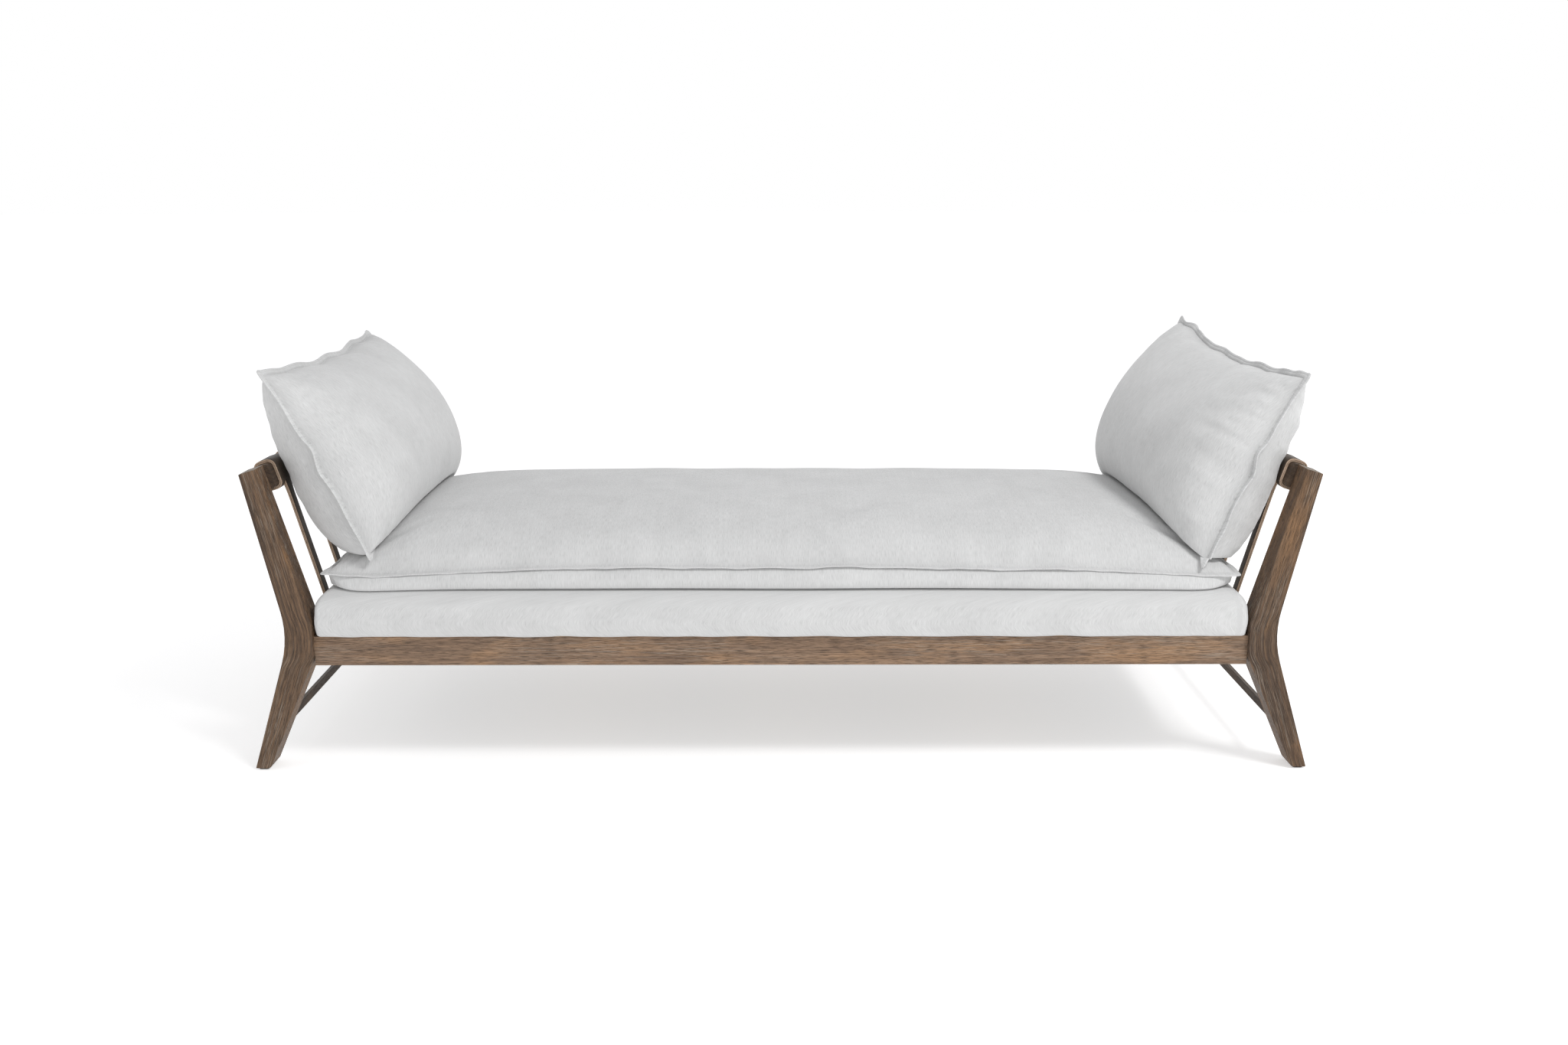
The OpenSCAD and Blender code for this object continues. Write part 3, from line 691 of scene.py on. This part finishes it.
def band_profile(rows):
    """Side of the mattress below its seam, as (distance out, share of the way down) for each row of cloth."""
    along = np.linspace(0, 1, rows + 1)
    stations = (0, 0.12, 0.30, 0.55, 0.74, 0.86, 0.94, 1)
    out = np.interp(along, stations, (0, 3.0, 10.0, 17.0, 20.5, 20.5, 16.5, 7.0))
    down = np.interp(along, stations, (0, 0.06, 0.20, 0.48, 0.74, 0.91, 0.98, 1))
    return out / 1000, down


def make_mattress():
    panels = Panels(152, 76, 0.62, 0.62)
    s, t = panels.u, panels.v
    half_x = MATTRESS_X - MATTRESS_FLANGE - 0.005 * (1 - t ** 2)
    half_y = MATTRESS_Y - MATTRESS_FLANGE - 0.006 * (1 - np.abs(s) ** 4) - 0.0015 * MATTRESS_WAVE(s * 0.9 + 3)
    top = mattress_top(s, t)
    # The lower panel starts as a band that bulges down to the deck, then lies flat under the mattress.
    rows = 12
    column, row = np.meshgrid(np.arange(panels.nu + 1), np.arange(panels.nv + 1), indexing="ij")
    near_x = np.minimum(column, panels.nu - column)
    near_y = np.minimum(row, panels.nv - row)
    level = np.minimum(np.minimum(near_x, near_y), rows)
    out, down = band_profile(rows)
    creep = 0.014
    shift = creep * level / rows
    to_corner = np.hypot((1 - np.abs(s)) * half_x, (1 - np.abs(t)) * half_y)
    full = smooth_step(to_corner / 0.16)

    def place(share, near, other, half, bulge):
        edge = np.abs(share[near >= rows]).max()
        inner = (half - creep) * share / edge
        low = np.where(near >= rows, inner, np.sign(share) * (half - creep * near / rows))
        on_side = (near <= other) & (near < rows)
        return low + np.where(on_side, np.sign(share) * (out[level] * full * bulge + shift), 0)

    low_x = place(s, near_x, near_y, half_x, 0.6)
    low_y = place(t, near_y, near_x, half_y, 1.0)
    # The corners round off more and more towards the bottom, so that each seam corner stands out as an ear.
    turn = 0.001 + 0.060 * down[level]
    a = (np.abs(low_x) - half_x + turn) / turn
    b = (np.abs(low_y) - half_y + turn) / turn
    pull = np.where((a > 0) & (b > 0), np.maximum(a, b) / np.maximum(np.hypot(a, b), 1e-9), 1.0)
    low_x = np.where(pull < 1, np.sign(low_x) * (half_x - turn + a * pull * turn), low_x)
    low_y = np.where(pull < 1, np.sign(low_y) * (half_y - turn + b * pull * turn), low_y)
    seam = mattress_seam(s, t)
    low_z = seam - (seam - deck_surface(low_x, low_y) - REST_GAP) * down[level]
    points = panels.gather(np.stack([s * half_x, t * half_y, top], -1), np.stack([low_x, low_y, low_z], -1))
    rim = panels.rim
    hold = np.full(panels.count, 0.02)
    hold[panels.back.ravel()] = np.where(level < rows, 0.15, 1.0).ravel()
    hold[rim] = 1.0
    away = np.minimum((1 - np.abs(s)) * half_x, (1 - np.abs(t)) * half_y)
    slack = np.zeros(panels.count)
    slack[panels.back.ravel()] = (level < rows).ravel() * 0.8
    slack[panels.front.ravel()] = np.exp(-away.ravel() / 0.05)
    shaped = swell("mattress", panels, points, hold, slack, cap=0.022, excess=0.05, keep=0.03)
    under = panels.back.ravel()
    rest = deck_surface(shaped[under, 0], shaped[under, 1]) + REST_GAP
    shaped[under, 2] = np.maximum(shaped[under, 2], rest)
    # Short puckers run in from the seam.
    pucker = Ripple(21, 0.03, 0.11, terms=12)
    fade = np.exp(-away / 0.028) * (away > 1e-6)
    at_end = (1 - np.abs(s)) * half_x < (1 - np.abs(t)) * half_y
    lift = 0.0011 * pucker(np.where(at_end, t * half_y + 7, s * half_x)) * fade
    shaped[panels.front.ravel(), 2] += lift.ravel()
    ring = shaped[rim]
    axis = np.array([0.0, 0.0, 1.0])
    outward = rim_frame(ring, axis, panels.corners, 1.0)
    arc = rim_arc(ring)
    flutter = Ripple(22, 0.05, 0.22, terms=10)
    wave = -0.0016 + 0.0016 * flutter(arc)
    flop = 0.0008 * flutter(arc + 40)
    section = [(0.0008, 0.0004), (0.0020, 0.0014), (0.0040, 0.0018), (0.0058, 0.0017), (0.0065, 0.0008),
               (0.0072, 0.0016), (0.0095, 0.0017), (0.0112, 0.0012), (0.0120, 0.0)]
    obj = sew("mattress_cushion", panels, shaped, outward, axis, section, wave, flop)
    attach(obj, "mattress")
    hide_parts("mattress_cover", "mattress_wrap", "mattress_core")


# ---------- pillows ----------

# Seeds of the pillows' ripples, how far the front seam kinks, and the height of the puckers along it.
PILLOW_SEED = {"left": 31, "right": 61}
PILLOW_KINK = {"left": 0.005, "right": 0.008}
FRONT_PUCKER = {"left": 0.0010, "right": 0.0022}
# Creases pulled into each pillow from its seam: start (along, up), heading, length, width and height.
CREASES = {
    "left": (
        ((-0.375, 0.250), 0.25, 0.150, 0.010, 0.0045),
        ((-0.375, 0.225), 0.05, 0.120, 0.009, -0.0050),
        ((-0.372, 0.195), -0.30, 0.110, 0.009, 0.0042),
        ((-0.372, 0.165), -0.20, 0.085, 0.008, -0.0032),
        ((-0.374, 0.330), -0.10, 0.130, 0.012, -0.0038),
        ((-0.374, 0.365), 0.10, 0.090, 0.010, 0.0028),
        ((-0.300, 0.412), -1.90, 0.080, 0.011, -0.0030),
        ((-0.050, 0.404), -1.45, 0.075, 0.011, -0.0028),
        ((0.140, 0.406), -1.70, 0.085, 0.012, -0.0030),
    ),
    "right": (
        ((-0.374, 0.375), -0.55, 0.120, 0.009, -0.0040),
        ((-0.374, 0.345), -0.40, 0.140, 0.009, 0.0040),
        ((-0.374, 0.310), -0.30, 0.130, 0.009, -0.0042),
        ((-0.374, 0.278), -0.18, 0.120, 0.008, 0.0036),
        ((-0.374, 0.250), -0.10, 0.135, 0.009, -0.0045),
        ((-0.374, 0.215), 0.05, 0.120, 0.008, 0.0042),
        ((-0.374, 0.188), 0.12, 0.105, 0.008, -0.0040),
        ((-0.374, 0.150), 0.20, 0.090, 0.008, 0.0026),
        ((-0.180, 0.404), -1.90, 0.095, 0.011, -0.0038),
        ((-0.060, 0.400), -1.50, 0.110, 0.011, -0.0044),
        ((-0.010, 0.400), -1.30, 0.085, 0.010, 0.0034),
        ((0.120, 0.404), -1.75, 0.090, 0.011, -0.0036),
        ((0.260, 0.408), -2.10, 0.080, 0.010, -0.0030),
    ),
}


def pillow_form(side, s, r):
    """Designed form of a pillow: each cloth point's place along and up the seam plane, and how far the face
    and the back stand out from it."""
    seed = PILLOW_SEED[side]
    slump = PILLOW_SLUMP[side]
    t = (r + 1) / 2
    pull_end = 0.007 * (1 - r ** 2) * np.abs(s) ** 3
    pull_side = np.where(r > 0, 0.020, 0.009) * (1 - s ** 2) * np.abs(r) ** 3
    along = s * (PILLOW_L / 2 - PILLOW_FLANGE - pull_end)
    up = PILLOW_H / 2 + r * (PILLOW_H / 2 - PILLOW_FLANGE - pull_side)
    edge_wave = Ripple(seed + 7, 0.10, 0.30, terms=8)
    up += 0.0035 * edge_wave(along) * smooth_step((r - 0.5) / 0.5) * (1 - s ** 6)
    near_end, far_end = np.maximum(-s, 0), np.maximum(s, 0)
    up += slump * (far_end * t - near_end ** 2 * (1 - t) ** 2)
    close_face = np.maximum(0, 1 - np.abs(s) ** 6) ** 0.5
    close_back = np.maximum(0, 1 - np.abs(s) ** 9) ** 0.5
    face = PILLOW_FACE * np.maximum(0, np.sin(math.pi * t ** 0.756)) ** lerp(0.62, 0.48, t) * close_face
    face = face * (1 - slump * 5 * far_end * (1 - t))
    back = PILLOW_BACK * np.maximum(0, np.sin(math.pi * t ** 0.70)) ** 0.42 * close_back
    swellings = Ripple(seed, 0.14, 0.40, terms=14, dims=2)
    inside = smooth_step(seam_distance(s, r) / 0.08)
    face = face + 0.0022 * swellings(along, up) * inside
    back = back + 0.0022 * swellings(along + 3, up) * inside
    # The slumped pillow also twists: its far end stands straighter, its near lower corner slides out.
    twist = slump * (far_end ** 2 * t - near_end ** 2 * (1 - t) ** 2 + 0.35 * near_end ** 2 * t ** 2)
    twist -= 0.008 * near_end ** 2 * t ** 3
    # Halfway up the near end, the seam kinks.
    kink = np.exp(-((up - 0.245) / 0.020) ** 2) - 0.8 * np.exp(-((up - 0.200) / 0.024) ** 2)
    twist += PILLOW_KINK[side] * kink * near_end ** 10
    return along, up, face + twist, twist - back


def seam_distance(s, r):
    """Rough distance from each cloth point of a pillow to its seam."""
    return np.minimum((1 - np.abs(s)) * PILLOW_L / 2, (1 - np.abs(r)) * PILLOW_H / 2)


def crease_pillow(side, panels, shaped, along, up, axis):
    """Adds the puckers that run in from the seam, and then the pillow's own creases."""
    s, r = panels.u, panels.v
    away = seam_distance(s, r)
    # The puckers are strongest at the middle of the front end.
    pucker = Ripple(PILLOW_SEED[side] + 1, 0.022, 0.075, terms=12)
    at_end = (1 - np.abs(s)) * PILLOW_L < (1 - np.abs(r)) * PILLOW_H
    run = np.where(at_end, up + 5 * np.sign(s), along + 9 * np.sign(r))
    mid_front = np.exp(-((up - 0.24) / 0.05) ** 2) * (s < 0) * at_end
    creased = np.where(at_end & (s < 0), FRONT_PUCKER[side], 0.0014)
    size = (creased + 0.0030 * mid_front) * np.exp(-away / 0.040) * smooth_step(away / 0.008)

    def lift(ids, heights):
        shaped[ids[1:-1, 1:-1].ravel()] += heights[1:-1, 1:-1].ravel()[:, None] * axis

    lift(panels.front, size * pucker(run))
    lift(panels.back, -(size * pucker(run + 2)))
    for start, heading, length, width, height in CREASES[side]:
        a, b = along - start[0], up - start[1]
        on = a * math.cos(heading) + b * math.sin(heading)
        off = b * math.cos(heading) - a * math.sin(heading)
        share = np.clip(on / length, 0, 1)
        ridge = height * np.exp(-(off / (width * (0.6 + 0.7 * share))) ** 2) * np.sin(math.pi * share ** 0.42)
        lift(panels.front, ridge)
        lift(panels.back, -0.7 * ridge)


def make_pillow(side):
    panels = Panels(96, 56, 0.60, 0.60)
    along, up, face, back = pillow_form(side, panels.u, panels.v)
    lean = Matrix.Rotation(PILLOW_TILT, 3, "Y")
    turn = np.array(lean @ Matrix.Rotation(PILLOW_TURN[side], 3, "Z"))
    foot = np.array(PILLOW_FOOT)

    def to_world(normal_out):
        return np.stack([-normal_out, along, up], -1) @ turn.T + foot

    points = press_pillow(panels.gather(to_world(face), to_world(back)))
    rim = panels.rim
    hold = np.full(panels.count, 0.03)
    hold[rim] = 1.0
    x, y, z = points.T
    resting = z < bed_under(x, y) + 0.006
    leaning = x > lean_line(z) - 0.006
    hold[resting | leaning] = 1.0
    slack = np.zeros(panels.count)
    fade = np.exp(-seam_distance(panels.u, panels.v) / 0.045).ravel()
    slack[panels.back.ravel()] = fade
    slack[panels.front.ravel()] = fade
    name = f"pillow_{side}"
    shaped = swell(name, panels, points, hold, slack, cap=0.025, excess=0.07, keep=0.25, inside_out=True)
    axis = turn @ np.array([-1.0, 0.0, 0.0])
    crease_pillow(side, panels, shaped, along, up, axis)
    shaped = press_pillow(shaped)
    ring = shaped[rim]
    outward = -rim_frame(ring, axis, panels.corners, 1.15)
    arc = rim_arc(ring)
    scallop = Ripple(PILLOW_SEED[side] + 2, 0.060, 0.19, terms=7)
    top_edge = smooth_step((up.ravel()[rim] - PILLOW_H + 0.03) / 0.03)
    wave = scallop(arc) * lerp(0.0018, 0.0055, top_edge)
    flop = -0.0020 * (1 + scallop(arc + 20)) * top_edge
    section = [(0.0008, 0.0004), (0.0022, 0.0019), (0.0050, 0.0023), (0.0075, 0.0021), (0.0084, 0.0011),
               (0.0093, 0.0021), (0.0115, 0.0022), (0.0132, 0.0015), (0.0140, 0.0)]
    obj = sew(f"pillow_{side}_cushion", panels, shaped, outward, axis, section, wave, flop)
    flat = np.zeros(len(obj.data.vertices) * 3)
    obj.data.vertices.foreach_get("co", flat)
    flat = press_pillow(flat.reshape(-1, 3))
    if side == "left":
        flat[:, 0] *= -1
    obj.data.vertices.foreach_set("co", flat.ravel())
    if side == "right":
        obj.data.flip_normals()
    obj.data.update()
    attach(obj, "pillow_" + side)
    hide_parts(f"pillow_cover_{side}", f"pillow_insert_{side}")


# ---------- deck ----------

def rounded_ring(half_x, half_y, radius):
    """Points of a rounded rectangle, the same number for every size of ring."""
    corner, step = 7, 0.012
    nx = int(2 * DECK_HIGH.x / step)
    ny = int(2 * DECK_HIGH.y / step)
    mid_x, mid_y = half_x - radius, half_y - radius
    sides = ((-90, ny, 1, -1), (0, nx, 1, 1), (90, ny, -1, 1), (180, nx, -1, -1))
    points = []
    for (start, count, cx, cy), (*_, fx, fy) in zip(sides, sides[1:] + sides[:1]):
        for k in range(corner + 1):
            angle = math.radians(start + 90 * k / corner)
            dx, dy = radius * math.cos(angle), radius * math.sin(angle)
            points.append((cx * mid_x + dx, cy * mid_y + dy))
        a, b = points[-1], (fx * mid_x + dx, fy * mid_y + dy)
        for k in range(1, count):
            points.append((lerp(a[0], b[0], k / count), lerp(a[1], b[1], k / count)))
    return np.array(points)


def deck_profile(height):
    """From under the rail edge, up the side, over the rounded edge and in across the top: (inset, height)."""
    profile = [(0.0220, 0.0012), (0.0120, 0.0006), (0.0040, 0.0006), (0.0018, 0.0018), (0.0008, 0.0040)]
    side_steps, edge_steps = 8, 9
    for k in range(1, side_steps):
        share = k / side_steps
        bulge = 0.0022 * math.sin(math.pi * share)
        profile.append((0.0008 - bulge, lerp(0.0040, height - DECK_EDGE, share)))
    for k in range(edge_steps + 1):
        angle = math.radians(90 * k / edge_steps)
        profile.append((DECK_EDGE * (1 - math.cos(angle)), height - DECK_EDGE + DECK_EDGE * math.sin(angle)))
    return profile + [(inset, height) for inset in (0.042, 0.060, 0.090, 0.14, 0.22, 0.31, 0.385)]


def make_deck():
    low, high = DECK_LOW, DECK_HIGH
    height = high.z - low.z
    profile = deck_profile(height)
    tuck = Ripple(41, 0.05, 0.25, terms=10)
    swell_side = Ripple(42, 0.12, 0.5, terms=10, dims=2)
    rings, weave = [], []
    last = None
    climb = 0.0
    for inset, up in profile:
        radius = np.clip(0.012 - inset * 0.4, 0.004, 0.012)
        ring = rounded_ring(high.x - inset, high.y - inset, radius)
        arc = rim_arc(np.column_stack([ring, np.zeros(len(ring))]))
        middle = math.sin(math.pi * min(1, up / height))
        away = unit(ring / np.array([high.x, high.y]) ** 9 * np.abs(ring) ** 8)
        out = 0.0009 * swell_side(arc, up * 2) * middle
        ring = ring + away * out[:, None]
        z = low.z + up + 0.0009 * tuck(arc) * max(0.0, 1 - up / 0.02)
        rings.append(np.column_stack([ring, z]))
        if last is not None:
            climb += math.hypot(inset - last[0], up - last[1])
        last = (inset, up)
        weave.append(np.column_stack([arc, np.full(len(ring), climb), np.full(len(ring), 9.0)]))
    count = len(rings[0])
    faces = []
    for r in range(len(rings) - 1):
        for k in range(count):
            n = (k + 1) % count
            faces.append((r * count + k, r * count + n, (r + 1) * count + n, (r + 1) * count + k))
    # The narrow strip left in the middle of the top closes onto a spine along its length.
    base = (len(rings) - 1) * count
    reach = high.x - profile[-1][0] - 0.030
    spine, ends = {}, []
    for x in np.clip(rings[-1][:, 0], -reach, reach):
        key = round(float(x), 4)
        if key not in spine:
            spine[key] = len(rings) * count + len(spine)
        ends.append(spine[key])
    for k in range(count):
        n = (k + 1) % count
        outline = [base + k, base + n, ends[n], ends[k]]
        faces.append(tuple(outline if ends[n] != ends[k] else outline[:3]))
    rings.append(np.array([(x, 0.0, high.z) for x in spine]))
    weave.append(np.array([(x, climb, 9.0) for x in spine]))
    obj = new_object("deck_upholstery", np.concatenate(rings), faces, [DECK_FABRIC_PAINTED_LIGHTER])
    set_weave(obj, np.concatenate(weave))
    subdivide(obj)
    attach(obj, "frame")
    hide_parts("deck_cover", "deck_foam")


def make_dust_sheet():
    """The thin black cloth under the deck, drawn tight along its edges and sagging a little inside them."""
    low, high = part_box("dust_cover")
    nx, ny = 150, 64
    x, y = np.meshgrid(np.linspace(low.x, high.x, nx + 1), np.linspace(low.y, high.y, ny + 1), indexing="ij")
    sag = Ripple(51, 0.10, 0.6, terms=12, dims=2)
    near = np.minimum(high.x - np.abs(x), high.y - np.abs(y))
    z = low.z + 0.0006 - 0.0012 * smooth_step((near - 0.04) / 0.2) * (1 + 0.6 * sag(x, y))
    ids = np.arange(x.size).reshape(x.shape)
    faces = [(ids[i, j], ids[i, j + 1], ids[i + 1, j + 1], ids[i + 1, j])
             for i in range(nx) for j in range(ny)]
    obj = new_object("dust_sheet", np.stack([x, y, z], -1).reshape(-1, 3), faces, [DUST_CLOTH])
    thick = obj.modifiers.new("Thickness", "SOLIDIFY")
    thick.thickness = 0.0004
    thick.offset = 0
    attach(obj, "frame")
    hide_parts("dust_cover")


# ---------- leather straps ----------

def loop_path(offset):
    """Centreline round the crossrail at a distance from it, as (x, z) with outward directions."""
    step = 0.004
    cos, sin = math.cos(LEAN), math.sin(LEAN)
    w, h = RAIL_SECTION
    r = RAIL_ROUND + offset
    half_w, half_h = w / 2 - RAIL_ROUND, h / 2 - RAIL_ROUND
    path = []
    corners = ((1, 1, 0), (-1, 1, 90), (-1, -1, 180), (1, -1, 270))
    for (su, sv, start), (nu, nv, _) in zip(corners, corners[1:] + corners[:1]):
        for k in range(9):
            angle = math.radians(start + 90 * k / 8)
            du, dv = math.cos(angle), math.sin(angle)
            path.append((su * half_w + r * du, sv * half_h + r * dv, du, dv))
        length = math.hypot((nu - su) * half_w, (nv - sv) * half_h)
        parts = max(2, int(length / step))
        for k in range(1, parts):
            u = lerp(su * half_w, nu * half_w, k / parts) + r * du
            v = lerp(sv * half_h, nv * half_h, k / parts) + r * dv
            path.append((u, v, du, dv))
    made = []
    for u, v, nu, nv in path:
        u, v = u + w / 2, v - h / 2
        made.append((RAIL_CORNER[0] + cos * u + sin * v, RAIL_CORNER[1] - sin * u + cos * v,
                     cos * nu + sin * nv, -sin * nu + cos * nv))
    return made


def tail_path(offset):
    """Line of one layer of the tail, from its lower end up to the loop, as (x, z) with outward directions."""
    slope = math.atan2(TAIL_TOP[0] - TAIL_BEND[0], TAIL_TOP[1] - TAIL_BEND[1])
    radius = 0.060
    reach = radius * math.tan(slope / 2)
    line = []
    z0, z1 = TAIL_END_Z, TAIL_BEND[1] - reach
    for k in range(12):
        line.append((TAIL_BEND[0], lerp(z0, z1, k / 12), 0.0))
    for k in range(9):
        a = slope * k / 8
        line.append((TAIL_BEND[0] + radius * (1 - math.cos(a)), z1 + radius * math.sin(a), a))
    x1, zb, _ = line[-1]
    length = math.hypot(TAIL_TOP[0] - x1, TAIL_TOP[1] - zb) + 0.004
    for k in range(1, 29):
        line.append((x1 + math.sin(slope) * length * k / 28, zb + math.cos(slope) * length * k / 28, slope))
    made = []
    for x, z, a in line:
        nx, nz = math.cos(a), -math.sin(a)
        made.append((x + nx * offset, z + nz * offset, nx, nz))
    return made


def strip(path, widths, thickness, y, closed):
    """A leather strip along a path: points, faces and each face's material (0 grain side, 1 cut edge)."""
    points, faces, kinds = [], [], []
    half_t = thickness / 2
    soft = thickness * 0.28
    for (x, z, nx, nz), width in zip(path, widths):
        half = width / 2
        under = [(-half, soft - half_t), (soft - half, -half_t), (-half * 0.4, -half_t),
                 (half * 0.4, -half_t), (half - soft, -half_t), (half, soft - half_t)]
        outline = under + [(-across, -out) for across, out in under]
        for across, out in outline:
            points.append((x + nx * out, y + across, z + nz * out))
    size = 12
    edge = (0, 4, 5, 6, 10, 11)
    count = len(path)
    spans = count if closed else count - 1
    for k in range(spans):
        n = (k + 1) % count
        for m in range(size):
            q = (m + 1) % size
            faces.append((k * size + m, n * size + m, n * size + q, k * size + q))
            kinds.append(1 if m in edge else 0)
    if not closed:
        faces.append(tuple(range(size)))
        faces.append(tuple((count - 1) * size + m for m in reversed(range(size))))
        kinds += [1, 1]
    return points, faces, kinds


def make_strap(side, number):
    """One strap: two layers of leather in the loop and in the tail."""
    low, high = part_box(f"strap_{side}_{number}")
    y = (low.y + high.y) / 2
    gap = (STRAP_T - 2 * LAYER_T) / 3
    points, faces, kinds = [], [], []

    def add(part):
        base = len(points)
        points.extend(part[0])
        faces.extend(tuple(i + base for i in face) for face in part[1])
        kinds.extend(part[2])

    for layer in range(2):
        offset = gap + LAYER_T / 2 + layer * (LAYER_T + gap)
        path = loop_path(offset)
        width = LOOP_W - 0.0012 * (1 - layer)
        add(strip(path, [width] * len(path), LAYER_T, y, True))
        path = tail_path(offset)
        total = len(path)
        widths = []
        for k in range(total):
            neck = smooth_step((k / (total - 1) - 0.90) / 0.10)
            tip = math.sqrt(max(0.0, 1 - (1 - min(1.0, k / 2.0)) ** 2))
            width = lerp(TAIL_W, TAIL_W + 0.010, float(neck)) * lerp(0.55, 1.0, tip)
            widths.append(width - 0.0008 * (1 - layer))
        add(strip(path, widths, LAYER_T, y, False))
    if side == "left":
        points = [(-px, py, pz) for px, py, pz in points]
        faces = [tuple(reversed(face)) for face in faces]
    name = f"leather_strap_{side}_{number}"
    obj = new_object(name, points, faces, [LEATHER_FACE, LEATHER_EDGE], kinds)
    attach(obj, "frame")
    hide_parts(f"strap_{side}_{number}")


# ---------- studio ----------

def make_floor():
    rings, count = (0.001, 2.0, 5.0, 12.0, 30.0, 60.0), 96
    points, faces = [], []
    for r, radius in enumerate(rings):
        for k in range(count):
            angle = math.tau * k / count
            points.append((radius * math.cos(angle), radius * math.sin(angle), 0.0))
            n = (k + 1) % count
            if radius < rings[-1]:
                faces.append((r * count + k, (r + 1) * count + k, (r + 1) * count + n, r * count + n))
    floor = new_object("studio_floor", points, faces + [tuple(range(count))], [floor_material()])


def make_key_light():
    light = bpy.data.lights.new("key", "AREA")
    light.shape = "RECTANGLE"
    light.size, light.size_y = KEY_SIZE
    light.energy = KEY_POWER
    obj = bpy.data.objects.new("key", light)
    obj.location = KEY_PLACE
    obj.rotation_euler = (KEY_AIM - KEY_PLACE).to_track_quat("-Z", "Y").to_euler()
    bpy.context.scene.collection.objects.link(obj)


def make_studio():
    scene = bpy.context.scene
    world = bpy.data.worlds.new("studio")
    scene.world = world
    world.use_nodes = True
    tree = world.node_tree
    # The sky is white round the horizon and dimmer overhead, so that the key light gives the cloth its form.
    split = tree.nodes.new("ShaderNodeSeparateXYZ")
    tree.links.new(tree.nodes.new("ShaderNodeTexCoord").outputs["Generated"], split.inputs[0])
    fade = tree.nodes.new("ShaderNodeValToRGB")
    tree.links.new(split.outputs["Z"], fade.inputs["Fac"])
    for element, at, tone in zip(fade.color_ramp.elements, (0.38, 0.62), ((1.0, 1.0, 1.0), SKY_OVERHEAD)):
        element.position = at
        element.color = (*tone, 1)
    tree.links.new(fade.outputs["Color"], tree.nodes["Background"].inputs["Color"])
    make_key_light()
    scene.view_settings.view_transform = "Standard"
    scene.view_settings.look = "None"


def make_camera():
    data = bpy.data.cameras.new("camera")
    data.sensor_width = 36.0
    data.lens = CAMERA_LENS
    data.clip_end = 200
    camera = bpy.data.objects.new("camera", data)
    camera.location = CAMERA_PLACE
    camera.rotation_euler = (math.radians(90 - CAMERA_DOWN), 0, math.radians(CAMERA_YAW))
    bpy.context.scene.collection.objects.link(camera)
    bpy.context.scene.camera = camera


make_camera()
make_studio()
make_floor()
finish_cad_nodes()
make_deck()
make_dust_sheet()
make_mattress()
for side in SIDES:
    make_pillow(side)
    for number in range(1, STRAP_COUNT + 1):
        make_strap(side, number)
